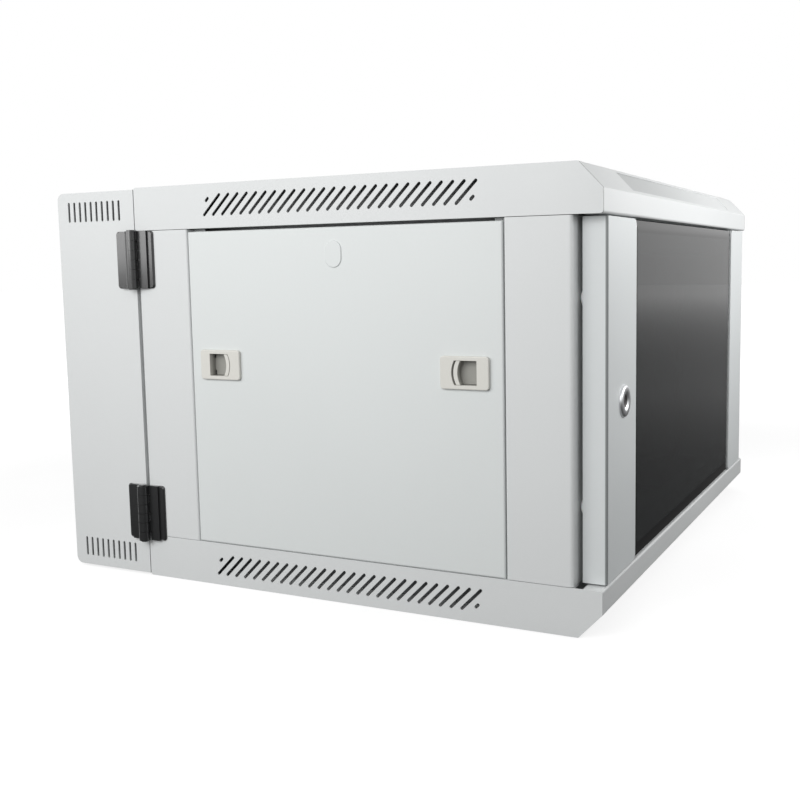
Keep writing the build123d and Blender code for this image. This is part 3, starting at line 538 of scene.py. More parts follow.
@dataclass(frozen=True)
class CanopyCoat(PowderCoat):
    """Powder coat of the upper canopy, with painted shade at the end seams and in the recessed
    field.
    """

    # seam: painted shade in the gaps beside the end seams
    seam: float = 0.2984
    seam_reach: float = 0.0013
    seam_core: float = 0.3
    seam_shade_depth: float = 0.85
    # field: painted shade in the recessed field, strongest at its start
    field_low: Point = (-0.2080, -1.0, 0.3501)
    field_high: Point = (0.2050, 0.0, 0.3653)
    field_fade: float = 0.42
    field_shade_depth: float = 0.40
    field_shade: Colour = (0.16, 0.17, 0.17)

    def recolour(self, wiring: Wiring, vector: Socket, colour: Socket) -> Socket:
        """Paint shade into the coat beside the seams, and in the field the more the nearer to its
        start.

        Args:
            wiring: the material's wiring.
            vector: the surface coordinates.
            colour: the coat's colour so far.

        Returns:
            The colour's socket.
        """
        reach = {
            "Start": self.seam - self.seam_reach,
            "End": self.seam - self.seam_core * self.seam_reach,
            "Depth": self.seam_shade_depth,
        }
        seamed = ACROSS_PAINTED_SHADE.place(wiring, {"Vector": vector, "Color": colour, **reach})
        parts = wiring.add("ShaderNodeSeparateXYZ", {0: vector}).outputs
        start = self.field_low[0]
        mask = wiring.spread(parts["X"], start, start + self.field_fade, self.field_shade_depth, 0.0)
        for axis, low, high in zip("XYZ", self.field_low, self.field_high):
            above = wiring.math("GREATER_THAN", parts[axis], low)
            below = wiring.math("LESS_THAN", parts[axis], high)
            mask = wiring.math("MULTIPLY", mask, wiring.math("MULTIPLY", above, below))
        return wiring.tint(mask, seamed.outputs["Color"], opaque(self.field_shade))


@dataclass(frozen=True)
class MouldedPlastic(Finish):
    """Moulded plastic with painted shade down in its pockets, measured behind its face."""

    face: float = 0.0
    shade_start: float = 0.0010
    shade_end: float = 0.0065
    shade_depth: float = 0.60

    def recolour(self, wiring: Wiring, vector: Socket, colour: Socket) -> Socket:
        """Paint shade into the plastic with the depth behind its face.

        Args:
            wiring: the material's wiring.
            vector: the surface coordinates.
            colour: the plastic's colour so far.

        Returns:
            The colour's socket.
        """
        reach = {
            "Start": self.face - self.shade_start,
            "End": self.face - self.shade_end,
            "Depth": self.shade_depth,
        }
        return ACROSS_PAINTED_SHADE.place(wiring, {"Vector": vector, "Color": colour, **reach}).outputs["Color"]


@dataclass(frozen=True)
class RolledZinc(Finish):
    """Zinc-plated sheet with the faint lines of rolling, which run upright."""

    stretch: Point = (260.0, 260.0, 9.0)

    def height(self, wiring: Wiring, vector: Socket) -> Socket:
        """Lines along the rolling direction."""
        return LINES.place(wiring, {"Vector": vector, "Stretch": self.stretch}).outputs["Height"]


@dataclass(frozen=True)
class CastBlack(Finish):
    """Semi-gloss black coat on a die casting."""

    def settings(self) -> Dict[str, float]:
        """Values of the glossier black coat."""
        return {"Specular IOR Level": 0.5, "Coat Weight": 1.0, "Coat Roughness": 0.12}


@dataclass(frozen=True)
class SmokedGlass(Finish):
    """Grey tempered glass that lets a little light through."""

    def settings(self) -> Dict[str, float]:
        """Values of the glass."""
        return {"Transmission Weight": 1.0, "IOR": 1.52}


@dataclass(frozen=True)
class SoftRubber(Finish):
    """Milky soft rubber."""

    def settings(self) -> Dict[str, float]:
        """Values of the scattering rubber."""
        return {"Subsurface Weight": 0.25, "Subsurface Scale": 0.002}


CASE = PowderCoat("case_coat", (0.642, 0.657, 0.657), 0.40, 0.50, dust=0.05)
CANOPY = CanopyCoat("canopy_coat", CASE.colour, CASE.rough_low, CASE.rough_high, dust=CASE.dust)
PANEL = PowderCoat("panel_coat", (0.655, 0.680, 0.675), 0.40, 0.50)
INNER = PowderCoat("inner_coat", (0.640, 0.655, 0.655), 0.42, 0.52)
# dark grey coat on the depth rails, made this dark partly as painted shade for the dark seen
# through the vent slots
RAIL_COAT = PowderCoat("rail_coat", (0.205, 0.211, 0.215), 0.44, 0.54)
# the lock stile's coat gets painted shade along its outer fold
STILE_FOLD = (-0.2858, -0.2713, 0.0)
DOOR_PLAIN = PowderCoat("door_coat_plain", (0.640, 0.665, 0.668), 0.38, 0.48)
DOOR_FOLD_SHADED = replace(DOOR_PLAIN, name="door_coat", fold=STILE_FOLD)
RACK_ZINC = RolledZinc(
    "rolled_zinc_upright", (0.62, 0.64, 0.65), 0.28, 0.42,
    broad=0.10, fine=0.08, depth=0.000008, metallic=1.0,
)
BRIGHT_ZINC = Finish(
    "bright_zinc", (0.58, 0.60, 0.60), 0.22, 0.36,
    broad=0.08, fine=0.10, count=1400.0, depth=0.000006, metallic=1.0, dust=0.04,
)
HINGE_BLACK = CastBlack(
    "hinge_black", (0.012, 0.0125, 0.013), 0.26, 0.36,
    broad=0.15, fine=0.20, count=1500.0, depth=0.000008,
)
GLASS = SmokedGlass(
    "smoked_glass", (0.055, 0.060, 0.062), 0.0, 0.025,
    broad=0.05, fine=0.0, count=14.0, depth=0.0000004,
)
# the latch plastic carries painted shade in its pockets
LATCH = MouldedPlastic(
    "latch_plastic", (0.640, 0.632, 0.590), 0.36, 0.46,
    fine=0.03, count=1800.0, depth=0.000012, face=0.3030,
)
CHROME = Finish(
    "lock_chrome", (0.74, 0.75, 0.76), 0.24, 0.34,
    broad=0.04, fine=0.06, count=2200.0, depth=0.000004, metallic=1.0,
)
# painted shade: the plug's chrome is made dark for the dark surroundings that it reflects
PLUG_SHADED_CHROME = Finish(
    "plug_shaded_chrome", (0.17, 0.16, 0.16), 0.16, 0.28,
    broad=0.08, fine=0.10, count=2200.0, depth=0.000006, metallic=1.0,
)
BUMPER = SoftRubber(
    "bumper_rubber", (0.78, 0.79, 0.78), 0.25, 0.35,
    broad=0.02, count=1200.0, depth=0.000004,
)
TAPE = Finish(
    "foam_tape", (0.016, 0.016, 0.017), 0.75, 0.90,
    broad=0.1, fine=0.2, count=2600.0, depth=0.00004,
)
NYLON = Finish("nylon", (0.74, 0.73, 0.69), 0.40, 0.50, fine=0.03, count=1500.0, depth=0.000008)


# Meshes worked out as grids

# Angles in degrees past which an edge stays sharp
RING_CREASE, DISH_CREASE, PLATE_CREASE = 40.0, 35.0, 30.0


def grid_faces(rows: int, columns: int, close_rows: bool, close_columns: bool) -> np.ndarray:
    """Corner numbers of the quads on a grid of points.

    Args:
        rows: points along the first direction.
        columns: points along the second direction.
        close_rows: whether the last row joins the first.
        close_columns: whether the last column joins the first.

    Returns:
        An array of four corner numbers for each quad.
    """
    i = np.arange(rows if close_rows else rows - 1)[:, None]
    j = np.arange(columns if close_columns else columns - 1)[None, :]
    below, beside = (i + 1) % rows, (j + 1) % columns
    corners = (
        i * columns + j, i * columns + beside, below * columns + beside, below * columns + j
    )
    return np.stack([c.ravel() for c in corners], axis=-1)


def closed_rings(body: np.ndarray, poles: np.ndarray) -> Tuple[np.ndarray, List[np.ndarray]]:
    """Points and faces of a stack of closed rings with a fan round a pole at both ends.

    Args:
        body: the rings' points, ring by ring.
        poles: the two poles' points.

    Returns:
        All points, and the corner numbers of the quads and of the fans.
    """
    rings, turns = body.shape[:2]
    step = np.arange(turns)
    beyond = (step + 1) % turns
    first_pole, last_ring = rings * turns, (rings - 1) * turns
    fans = np.concatenate((
        np.stack((np.full(turns, first_pole), step, beyond), axis=-1),
        np.stack((np.full(turns, first_pole + 1), last_ring + beyond, last_ring + step), axis=-1),
    ))
    quads = grid_faces(rings, turns, False, True)[:, ::-1]
    return np.concatenate((body.reshape(-1, 3), poles)), [quads, fans]


def put_mesh(
    name: str, points: np.ndarray, faces: Sequence[np.ndarray], crease: float
) -> bpy.types.Object:
    """Make an object of points and faces.

    Args:
        name: the piece's name.
        points: one row of three numbers for each point, in metres.
        faces: arrays of corner numbers, each of one face size.
        crease: angle in degrees past which an edge is sharp.

    Returns:
        The new object, at the origin.
    """
    mesh = bpy.data.meshes.new(name)
    loops = np.concatenate([f.ravel() for f in faces])
    sizes = np.concatenate([np.full(len(f), f.shape[1]) for f in faces])
    starts = np.concatenate(([0], np.cumsum(sizes)[:-1]))
    mesh.vertices.add(len(points))
    mesh.vertices.foreach_set("co", np.asarray(points, np.float32).ravel())
    mesh.loops.add(len(loops))
    mesh.loops.foreach_set("vertex_index", loops.astype(np.int32))
    mesh.polygons.add(len(sizes))
    mesh.polygons.foreach_set("loop_start", starts.astype(np.int32))
    mesh.update(calc_edges=True)
    mesh.validate()
    mesh.polygons.foreach_set("use_smooth", np.ones(len(mesh.polygons), bool))
    mesh.set_sharp_from_angle(angle=math.radians(crease))
    piece = bpy.data.objects.new(name, mesh)
    bpy.context.scene.collection.objects.link(piece)
    return piece


def outward_normals(piece: bpy.types.Object) -> None:
    """Turn a closed piece's faces outwards.

    The volume that the faces enclose is the sum of each triangle's scalar triple product,
    and where it is negative every face is turned over.

    Args:
        piece: the object.
    """
    mesh = piece.data
    mesh.calc_loop_triangles()
    corners = np.zeros(len(mesh.loop_triangles) * 3, np.int32)
    mesh.loop_triangles.foreach_get("vertices", corners)
    points = np.zeros(len(mesh.vertices) * 3, np.float32)
    mesh.vertices.foreach_get("co", points)
    a, b, c = points.reshape(-1, 3).astype(float)[corners.reshape(-1, 3)].transpose(1, 0, 2)
    if np.einsum("ij,ij->", a, np.cross(b, c)) < 0.0:
        mesh.flip_normals()


@dataclass(frozen=True)
class Seat:
    """Place and direction of a round piece: an origin, the way out and a sideways direction."""

    origin: Point
    outward: Point
    sideways: Point

    def place(self, radial: np.ndarray, angle: np.ndarray, rise: np.ndarray) -> np.ndarray:
        """Points at a radius, an angle and a rise.

        The point is the origin plus radius times cosine along sideways, radius times sine
        along the third direction, and rise along outward.

        Args:
            radial: distances from the axis.
            angle: turns about the axis, in radians.
            rise: distances along the axis.

        Returns:
            An array with three numbers for each point.
        """
        out, side = np.array(self.outward), np.array(self.sideways)
        third = np.cross(out, side)
        along_side = (radial * np.cos(angle))[..., None] * side
        along_third = (radial * np.sin(angle))[..., None] * third
        return np.array(self.origin) + along_side + along_third + rise[..., None] * out


def ring_piece(name: str, seat: Seat, profile: Sequence[Span], turns: int) -> bpy.types.Object:
    """A closed ring: a closed profile of radius and rise carried round the seat's axis.

    Args:
        name: the piece's name.
        seat: where it sits.
        profile: radius and rise of each corner, anticlockwise.
        turns: points round the ring.

    Returns:
        The new object.
    """
    radial, rise = np.array(profile).T
    angle = np.linspace(0.0, FULL_TURN, turns, endpoint=False)
    r, a = np.meshgrid(radial, angle, indexing="ij")
    points = seat.place(r, a, np.broadcast_to(rise[:, None], r.shape)).reshape(-1, 3)
    piece = put_mesh(name, points, [grid_faces(len(profile), turns, True, True)], RING_CREASE)
    outward_normals(piece)
    return piece


def capped_piece(
    name: str, seats: Sequence[Seat], radial: np.ndarray, rise: np.ndarray
) -> bpy.types.Object:
    """Solids of rings of points, closed at both poles by a fan.

    Row i lies at radius radial[i] and, at each angle, at rise[i, angle]. The first and the
    last row are the poles.

    Args:
        name: the piece's name.
        seats: where each copy sits.
        radial: radius of each row, from the outer pole to the inner one.
        rise: rise of each point, one row for a ring.

    Returns:
        The new object, which holds every copy.
    """
    angle = np.linspace(0.0, FULL_TURN, rise.shape[1], endpoint=False)
    r, a = np.meshgrid(radial[1:-1], angle, indexing="ij")
    axis = np.zeros(2)
    points, quads, fans = [], [], []
    for seat in seats:
        poles = seat.place(axis, axis, rise[[0, -1], 0])
        solid, (squares, ends) = closed_rings(seat.place(r, a, rise[1:-1]), poles)
        before = len(points) * len(solid)
        points.append(solid)
        quads.append(squares + before)
        fans.append(ends + before)
    faces = [np.concatenate(quads), np.concatenate(fans)]
    piece = put_mesh(name, np.concatenate(points), faces, DISH_CREASE)
    outward_normals(piece)
    return piece


def smooth_inside(distance: np.ndarray, half: float, soft: float) -> np.ndarray:
    """Smooth step from 1 inside a half width to 0 outside it.

    Where t is the share of the soft edge that is still ahead, the step is 3 t squared less
    2 t cubed.

    Args:
        distance: distances from the middle.
        half: the half width.
        soft: half the width of the soft edge.

    Returns:
        The step at each distance.
    """
    t = np.clip((half + soft - distance) / (2.0 * soft), 0.0, 1.0)
    return t * t * (3.0 - 2.0 * t)


# The cabinet's sub-assemblies


def put_on(piece: bpy.types.Object, material: bpy.types.Material) -> None:
    """Make a material the only one of an object."""
    piece.data.materials.clear()
    piece.data.materials.append(material)


class SubAssembly:
    """Named nodes that share a finish, and the pieces made for them."""

    def coats(self) -> Dict[Finish, Sequence[str]]:
        """Which nodes get which finish."""
        return {}

    def build(self) -> None:
        """Make the sub-assembly's own pieces."""

    def dress(self) -> None:
        """Give each node its material."""
        for finish, nodes in self.coats().items():
            material = finish.material()
            for name in nodes:
                put_on(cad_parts[name], material)
            LOG.info("%s on %s", finish.name, ", ".join(nodes))

    def keep(
        self, piece: bpy.types.Object, body: str, slot: str, finish: Finish, *nodes: str
    ) -> None:
        """Take a finished piece into the cabinet.

        Args:
            piece: the object.
            body: the body that it moves with.
            slot: the record's material slot, which is not used.
            finish: its finish.
            nodes: the CAD nodes that it stands for.
        """
        put_on(piece, finish.material())
        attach(piece, body)
        if nodes:
            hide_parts(*nodes)
        LOG.info("%s rides on %s", piece.name, body)


class WallSection(SubAssembly):
    """The shallow section that stays on the wall, with both halves of its hinges."""

    def coats(self) -> Dict[Finish, Sequence[str]]:
        """Coat on the sheets, zinc on the small parts and black on the hinges.

        Returns:
            The nodes' names by finish.
        """
        return {
            CASE: ("wall_shell", *(f"wall_cheek_{side}" for side in SIDES)),
            INNER: tuple(f"cable_cover_{level}" for level in LEVELS),
            BRIGHT_ZINC: (
                "cable_cover_screws",
                "hinge_screws_wall",
                "swing_lock_strike",
                "swing_lock_strike_pin",
            ),
            HINGE_BLACK: ("hinge_leaves_wall", "hinge_pins", "hinge_leaves_main"),
        }


class MainFrame(SubAssembly):
    """Trays, cheeks, posts and rails of the section that swings."""

    def coats(self) -> Dict[Finish, Sequence[str]]:
        """Coat on the case and its rails, zinc on the rack rails and the fasteners.

        Returns:
            The nodes' names by finish.
        """
        return {
            replace(CASE, name="main_coat"): (
                "bottom_tray",
                *(f"{level}_cheek_{side}" for level in LEVELS for side in SIDES),
                *(f"{end}_post_{side}" for end in ENDS for side in SIDES),
            ),
            CANOPY: ("top_tray",),
            replace(INNER, name="rear_rail_coat"): tuple(f"rear_rail_{level}" for level in LEVELS),
            RACK_ZINC: tuple(f"rack_rail_{end}_{side}" for end in ENDS for side in SIDES),
            RAIL_COAT: tuple(
                f"depth_rail_{level}_{side}" for level in ("upper", "lower") for side in SIDES
            ),
            replace(BRIGHT_ZINC, name="fastener_zinc"): (
                "rack_bolts", "earth_stud", "hinge_screws_main", "door_pivots", "swing_lock_nut"
            ),
            NYLON: ("door_pivot_washer",),
        }


class SidePanels(SubAssembly):
    """Lift-off side panels and their latches."""

    def coats(self) -> Dict[Finish, Sequence[str]]:
        """Coat on the panels and moulded plastic on the latches.

        Returns:
            The nodes' names by finish.
        """
        return {
            PANEL: tuple(f"side_panel_{side}" for side in SIDES),
            LATCH: (
                *(f"latch_housings_{side}" for side in SIDES),
                *(f"latch_slider_{side}_{end}" for side in SIDES for end in ENDS),
            ),
        }


@dataclass
class Door(SubAssembly):
    """Steel stiles and rails round the smoked pane, with the bumpers behind its edge."""

    arris: float = 0.0007
    arris_share: float = 0.3
    face_inset: float = 0.0084
    corner: float = 0.0010
    corner_points: int = 5
    bumper_radius: float = 0.0070
    bumper_height: float = 0.0032
    bumper_rim: float = 0.0004
    bumper_foot: float = 0.9
    dome_rings: int = 14
    dome_reach: float = 0.98
    dome_turns: int = 40

    def coats(self) -> Dict[Finish, Sequence[str]]:
        """Coat on the steel, tape behind the pane and zinc on the lock's inner parts.

        Returns:
            The nodes' names by finish.
        """
        return {
            DOOR_FOLD_SHADED: ("door_lock_stile",),
            DOOR_PLAIN: ("door_hinge_stile", "door_rail_top", "door_rail_bottom"),
            TAPE: ("door_glass_tape",),
            replace(BRIGHT_ZINC, name="lock_zinc"): ("door_lock_nut", "door_lock_cam"),
        }

    def pane(self) -> bpy.types.Object:
        """The glass as a loop carried through its thickness.

        The loop is a rectangle whose corners are quarter circles. Each row of the profile
        moves every point of the loop inwards by an inset at a depth, so the arris is ground
        at both faces, and a centre point closes each face.

        Returns:
            The pane's object.
        """
        low, high = (np.array(v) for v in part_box("door_glass"))
        half = (high - low)[[0, 2]] / 2.0
        middle = (high + low)[[0, 2]] / 2.0
        quarter = np.linspace(0.0, QUARTER_TURN, self.corner_points)
        angle = np.concatenate([quarter + k * QUARTER_TURN for k in range(4)])
        sign = np.array([(1, 1), (-1, 1), (-1, -1), (1, -1)], float)
        rounding = self.corner * np.stack((np.cos(angle), np.sin(angle)), axis=-1)
        loop = np.repeat(sign, self.corner_points, axis=0) * (half - self.corner) + rounding
        ground = self.arris_share * self.arris
        inset = np.array([self.face_inset, self.arris, ground, 0.0])
        depth = np.array([0.0, 0.0, ground, self.arris])
        insets = np.concatenate((inset, inset[::-1]))
        depths = np.concatenate((low[1] + depth, high[1] - depth[::-1]))
        shrink = (half - insets[:, None]) / half
        flat = middle + loop[None, :, :] * shrink[:, None, :]
        deep = np.broadcast_to(depths[:, None], flat.shape[:2])
        body = np.stack((flat[..., 0], deep, flat[..., 1]), axis=-1)
        poles = np.array([(middle[0], y, middle[1]) for y in (low[1], high[1])])
        piece = put_mesh("door_pane", *closed_rings(body, poles), PLATE_CREASE)
        outward_normals(piece)
        return piece

    def bumpers(self) -> bpy.types.Object:
        """Both bumper domes.

        A ring's rise is the dome's height times the root of one minus the square of its
        share of the radius, down to a straight rim and a flat foot.

        Returns:
            The object of both domes.
        """
        low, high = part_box("door_bumpers")
        dome = np.linspace(0.0, self.dome_reach, self.dome_rings)
        share = np.concatenate((dome, [1.0, 1.0, self.bumper_foot, 0.0]))
        rise = self.bumper_height * np.sqrt(1.0 - share**2)
        rise[self.dome_rings:] = (self.bumper_rim, 0.0, 0.0, 0.0)
        seats = [
            Seat(((low.x + high.x) / 2.0, low.y, z), (0.0, 1.0, 0.0), (1.0, 0.0, 0.0))
            for z in (low.z + self.bumper_radius, high.z - self.bumper_radius)
        ]
        rows = np.repeat(rise[:, None], self.dome_turns, axis=1)
        return capped_piece("bumper_domes", seats, share * self.bumper_radius, rows)

    def build(self) -> None:
        """Make the pane and the bumpers."""
        self.keep(self.pane(), "door", "smoked_glass", GLASS, "door_glass")
        self.keep(self.bumpers(), "door", "bumper_rubber", BUMPER, "door_bumpers")


@dataclass
class CylinderLock(SubAssembly):
    """A chromed cylinder lock: a rounded bezel with its barrel, and a dished plug with a keyway.

    The rounded edges are lists of corners in millimetres: how far each lies inside the bezel's
    edge, or outside the bore, and how far below the face.
    """

    prefix: str = "door_lock"
    holder: str = "door"
    turner: str = "door_lock_turn"
    outward: Point = (0.0, -1.0, 0.0)
    sideways: Point = (0.0, 0.0, 1.0)
    face: float = 0.0025
    bezel: float = 0.0130
    barrel: float = 0.0094
    bore: float = 0.00556
    outer_edge: Sequence[Span] = ((0.0, 1.6), (0.25, 0.9), (0.9, 0.35), (2.0, 0.0))
    inner_edge: Sequence[Span] = ((2.6, 0.0), (1.8, 0.15), (0.7, 0.9), (0.0, 1.3))
    bezel_turns: int = 96
    plug: float = 0.0055
    plug_sink: float = 0.0012
    plug_foot: float = 0.9
    plug_rings: int = 44
    plug_turns: int = 144
    dish: float = 0.0008
    slot_length: float = 0.0074
    slot_width: float = 0.0018
    slot_depth: float = 0.0035
    slot_soft: float = 0.00035

    def spans(self) -> Tuple[np.ndarray, float, float]:
        """Centre of the sheet under the bezel, and the depths of the barrel and the plug.

        Returns:
            The centre, the barrel's depth and the plug's depth behind the sheet's face.
        """
        out = np.array(self.outward)
        low, high = (np.array(v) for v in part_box(f"{self.prefix}_body"))
        sheet_level = max(low @ out, high @ out) - self.face
        back = min(low @ out, high @ out)
        middle = (low + high) / 2.0
        sheet = middle - (middle @ out) * out + sheet_level * out
        plug_low, plug_high = (np.array(v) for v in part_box(f"{self.prefix}_plug"))
        plug_back = min(plug_low @ out, plug_high @ out)
        return sheet, sheet_level - back, sheet_level - plug_back

    def build(self) -> None:
        """Make the body as a closed ring and the plug as a dished solid."""
        sheet, barrel_depth, plug_depth = self.spans()
        seat = Seat(tuple(sheet), self.outward, self.sideways)
        rim = [
            (self.bezel, 0.0),
            *((self.bezel - x * MM, self.face - drop * MM) for x, drop in self.outer_edge),
            *((self.bore + x * MM, self.face - drop * MM) for x, drop in self.inner_edge),
            (self.bore, -barrel_depth),
            (self.barrel, -barrel_depth),
            (self.barrel, 0.0),
        ]
        body = ring_piece(f"{self.prefix}_bezel", seat, rim, self.bezel_turns)
        chrome = replace(CHROME, name=f"{self.prefix}_chrome")
        self.keep(body, self.holder, "lock_chrome", chrome, f"{self.prefix}_body")
        plug = self.plug_piece(seat, plug_depth)
        # the plug gets the dark chrome that is painted shade
        plug_shaded_chrome = replace(PLUG_SHADED_CHROME, name=f"{self.prefix}_plug")
        self.keep(plug, self.turner, "lock_chrome", plug_shaded_chrome, f"{self.prefix}_plug")

    def plug_piece(self, seat: Seat, depth: float) -> bpy.types.Object:
        """The plug: a disc of rings with a dish and a keyway pressed into it, and a straight side.

        The face's rise is its rim less the dish times one minus the square of the share of the
        radius, less the keyway's depth times two smooth steps, one across its width and one
        along its length.

        Args:
            seat: the lock's seat.
            depth: how far the plug reaches behind the sheet.

        Returns:
            The plug's object.
        """
        rings = np.linspace(0.0, 1.0, self.plug_rings)
        share = np.concatenate((rings, [1.0, self.plug_foot, 0.0]))
        angle = np.linspace(0.0, FULL_TURN, self.plug_turns, endpoint=False)
        radial = share * self.plug
        along = np.abs(radial[:, None] * np.cos(angle))
        across = np.abs(radial[:, None] * np.sin(angle))
        width = smooth_inside(across, self.slot_width / 2.0, self.slot_soft)
        length = smooth_inside(along, self.slot_length / 2.0, self.slot_soft)
        dished = self.dish * (1.0 - share[:, None] ** 2)
        rise = self.face - self.plug_sink - dished - self.slot_depth * width * length
        rise[self.plug_rings:] = -depth
        return capped_piece(f"{self.prefix}_plug_face", [seat], radial, rise)


class SwingHook(SubAssembly):
    """Hook of the swing lock, which turns with its plug."""

    def coats(self) -> Dict[Finish, Sequence[str]]:
        """Bright zinc on the hook."""
        return {replace(BRIGHT_ZINC, name="hook_zinc"): ("swing_lock_hook",)}


# Stage, light and camera


@dataclass(frozen=True)
class Lamp:
    """A soft rectangular lamp: place, target, width and height in metres, power in watts."""

    name: str
    place: Point
    target: Point
    size: Span
    power: float

    def build(self) -> None:
        """Hang the lamp and turn it to its target."""
        light = bpy.data.lights.new(self.name, "AREA")
        light.shape = "RECTANGLE"
        light.size, light.size_y = self.size
        light.energy = self.power
        lamp = bpy.data.objects.new(self.name, light)
        turn = (Vector(self.target) - Vector(self.place)).to_track_quat("-Z", "Y")
        lamp.matrix_world = Matrix.Translation(self.place) @ turn.to_matrix().to_4x4()
        lamp.visible_camera = False
        bpy.context.scene.collection.objects.link(lamp)
        LOG.info("lamp %s of %.1f W", self.name, self.power)


LAMPS = (
    Lamp("left_box", (-2.0, -0.4, 1.1), (-0.3, 0.0, 0.2), (1.6, 1.2), 11.2),
    Lamp("left_near_box", (-1.15, 0.15, 0.55), (-0.3, 0.05, 0.18), (0.7, 0.5), 4.7),
    Lamp("rear_left_box", (-1.5, 1.15, 0.6), (-0.3, 0.15, 0.25), (0.75, 0.62), 5.0),
    Lamp("front_near_box", (0.14, -0.66, 0.43), (0.12, -0.27, 0.34), (0.9, 0.14), 3.1),
    Lamp("right_box", (1.9, 1.0, 0.6), (0.3, 0.05, 0.2), (0.9, 0.7), 11.0),
    Lamp("rear_box", (0.65, 2.2, 1.0), (0.0, 0.27, 0.2), (1.6, 1.2), 12.0),
)


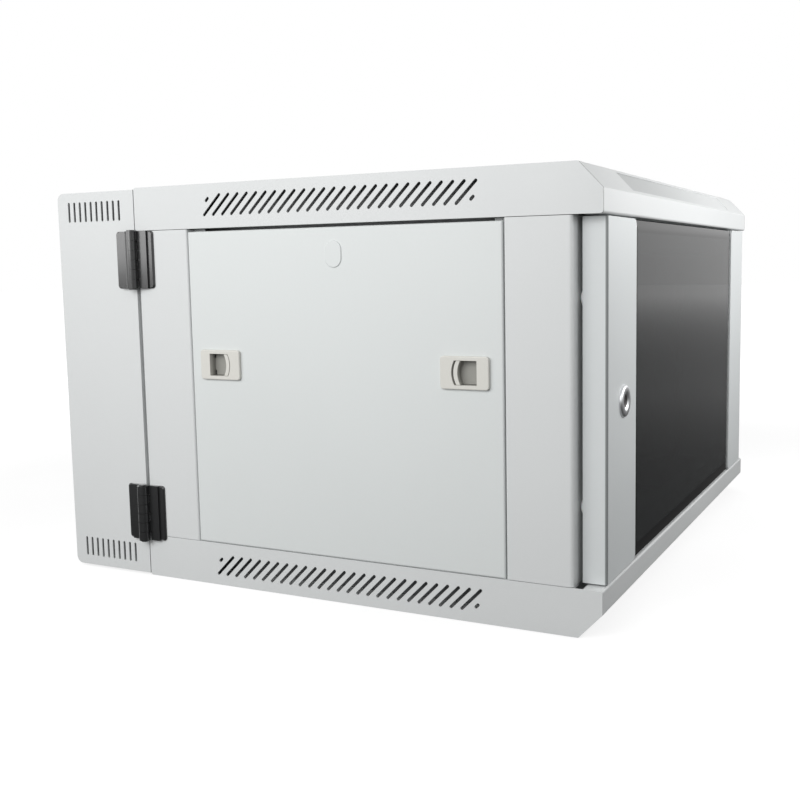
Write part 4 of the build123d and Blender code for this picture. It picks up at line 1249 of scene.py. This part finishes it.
@dataclass
class Studio:
    """Pale floor and surroundings.

    The camera, straight or through glass, sees a floor that pales to white with the distance
    and a white world. Mirror-like surfaces see a graded grey floor and world, and every other
    ray a plain matt floor and a dim world. Each pair of levels is spread over a span of
    distance on the floor, in metres, or of height in the world.
    """

    floor_half: float = 12.0
    floor_lines: int = 9
    floor_drop: float = 0.0004
    white: Span = (0.76, 0.985)
    white_span: Span = (0.6, 1.6)
    near_glow: Span = (0.05, 0.17)
    near_span: Span = (0.3, 1.5)
    far_glow: Span = (0.0, 0.46)
    far_span: Span = (1.0, 9.0)
    fleck_count: float = 3.0
    fleck_detail: float = 3.0
    fleck_span: Span = (0.3, 0.7)
    matt_tone: Span = (0.29, 0.31)
    mirror_tone: Colour = (0.02, 0.02, 0.02)
    ambient: Span = (0.15, 0.35)
    ambient_span: Span = (0.0, 0.8)
    mirrored: Span = (0.60, 0.82)
    mirror_span: Span = (-0.03, 0.10)

    def lookers(self, wiring: Wiring) -> Tuple[Socket, Socket]:
        """Masks of the camera, straight or through glass, and of mirror-like surfaces."""
        path = wiring.add("ShaderNodeLightPath").outputs
        seen = wiring.math("MAXIMUM", path[Ray.CAMERA.value], path[Ray.TRANSMISSION.value])
        return seen, path[Ray.GLOSSY.value]

    def floor(self) -> None:
        """Floor as a flat grid just below the cabinet."""
        line = np.linspace(-self.floor_half, self.floor_half, self.floor_lines)
        x, y = np.meshgrid(line, line, indexing="ij")
        points = np.stack((x, y, np.full_like(x, -self.floor_drop)), axis=-1).reshape(-1, 3)
        quads = grid_faces(self.floor_lines, self.floor_lines, False, False)[:, ::-1]
        piece = put_mesh("studio_floor", points, [quads], PLATE_CREASE)
        put_on(piece, self.floor_paint())

    def floor_paint(self) -> bpy.types.Material:
        """Matt paint with a glow that depends on what looks at it.

        Returns:
            The floor's material.
        """
        material = bpy.data.materials.new("floor_paint")
        wiring = bare_wiring(material)
        vector = wiring.add("ShaderNodeTexCoord").outputs["Object"]
        length = wiring.add("ShaderNodeVectorMath", {0: vector}, operation="LENGTH")
        distance = length.outputs["Value"]
        near = wiring.spread(distance, *self.near_span, *self.near_glow)
        pale = wiring.math("ADD", near, wiring.spread(distance, *self.far_span, *self.far_glow))
        seen, glossy = self.lookers(wiring)
        glow = wiring.tint(glossy, BLACK, pale)
        white = wiring.spread(distance, *self.white_span, *self.white)
        fleck = wiring.noise(vector, self.fleck_count, self.fleck_detail)
        tone = wiring.spread(fleck, *self.fleck_span, *self.matt_tone)
        matt = wiring.tint(glossy, tone, opaque(self.mirror_tone))
        diffuse = wiring.add("ShaderNodeBsdfDiffuse", {"Color": matt})
        level = {"Color": wiring.tint(seen, glow, white), "Strength": 1.0}
        emission = wiring.add("ShaderNodeEmission", level)
        both = wiring.add("ShaderNodeAddShader", {0: diffuse.outputs[0], 1: emission.outputs[0]})
        wiring.add("ShaderNodeOutputMaterial", {"Surface": both.outputs[0]})
        material.cycles.emission_sampling = "NONE"
        return material

    def surroundings(self) -> None:
        """World that is white to the camera and a soft gradient to everything else."""
        world = bpy.data.worlds.new("studio_air")
        bpy.context.scene.world = world
        wiring = bare_wiring(world)
        direction = wiring.add("ShaderNodeTexCoord").outputs["Generated"]
        height = wiring.add("ShaderNodeSeparateXYZ", {0: direction}).outputs["Z"]
        ambient = wiring.spread(height, *self.ambient_span, *self.ambient)
        mirrored = wiring.spread(height, *self.mirror_span, *self.mirrored)
        seen, glossy = self.lookers(wiring)
        colour = wiring.tint(seen, wiring.tint(glossy, ambient, mirrored), WHITE)
        background = wiring.add("ShaderNodeBackground", {"Color": colour, "Strength": 1.0})
        wiring.add("ShaderNodeOutputWorld", {"Surface": background.outputs[0]})
        world.cycles.sampling_method = "NONE"

    def build(self) -> None:
        """Make the floor, the surroundings and the lamps."""
        self.floor()
        self.surroundings()
        for lamp in LAMPS:
            lamp.build()


@dataclass(frozen=True)
class PhotoCamera:
    """The photograph's camera: place, turn, focal length in pixels and its centre in the image."""

    place: Point = (-1.052979, -0.502657, 0.292028)
    azimuth: float = -1.111298
    elevation: float = 0.111782
    roll: float = -0.0168373
    focal: float = 1037.620
    centre: Span = (433.297, 381.875)
    image: float = 800.0
    sensor: float = 36.0
    clip: Span = (0.01, 60.0)

    def build(self) -> None:
        """Make the camera and its directions from the azimuth, elevation and roll."""
        az, el = self.azimuth, self.elevation
        back = Vector((math.sin(az) * math.cos(el), -math.cos(az) * math.cos(el), math.sin(el)))
        right = (-back).cross(Vector((0.0, 0.0, 1.0))).normalized()
        up = right.cross(-back)
        c, s = math.cos(self.roll), math.sin(self.roll)
        turned_right, turned_up = c * right + s * up, -s * right + c * up
        data = bpy.data.cameras.new("photo_camera")
        data.sensor_width = self.sensor
        data.lens = self.focal / self.image * self.sensor
        data.shift_x = (self.image / 2.0 - self.centre[0]) / self.image
        data.shift_y = (self.centre[1] - self.image / 2.0) / self.image
        data.clip_start, data.clip_end = self.clip
        camera = bpy.data.objects.new("photo_camera", data)
        turn = Matrix((turned_right, turned_up, back)).transposed().to_4x4()
        camera.matrix_world = Matrix.Translation(self.place) @ turn
        bpy.context.scene.collection.objects.link(camera)
        bpy.context.scene.camera = camera


def main() -> None:
    """Build and dress the cabinet in order, then the studio and the camera."""
    logging.basicConfig(level=logging.INFO, format="%(name)s: %(message)s")
    bpy.context.scene.view_settings.view_transform = "Standard"
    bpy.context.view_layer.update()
    PhotoCamera().build()
    parts = (
        WallSection(),
        MainFrame(),
        SidePanels(),
        Door(),
        CylinderLock(),
        CylinderLock(
            prefix="swing_lock", holder="main_frame", turner="swing_lock_turn",
            outward=(1.0, 0.0, 0.0),
        ),
        SwingHook(),
    )
    for part in parts:
        part.build()
        part.dress()
    Studio().build()
    bpy.context.view_layer.update()


if __name__ == "__main__":
    main()
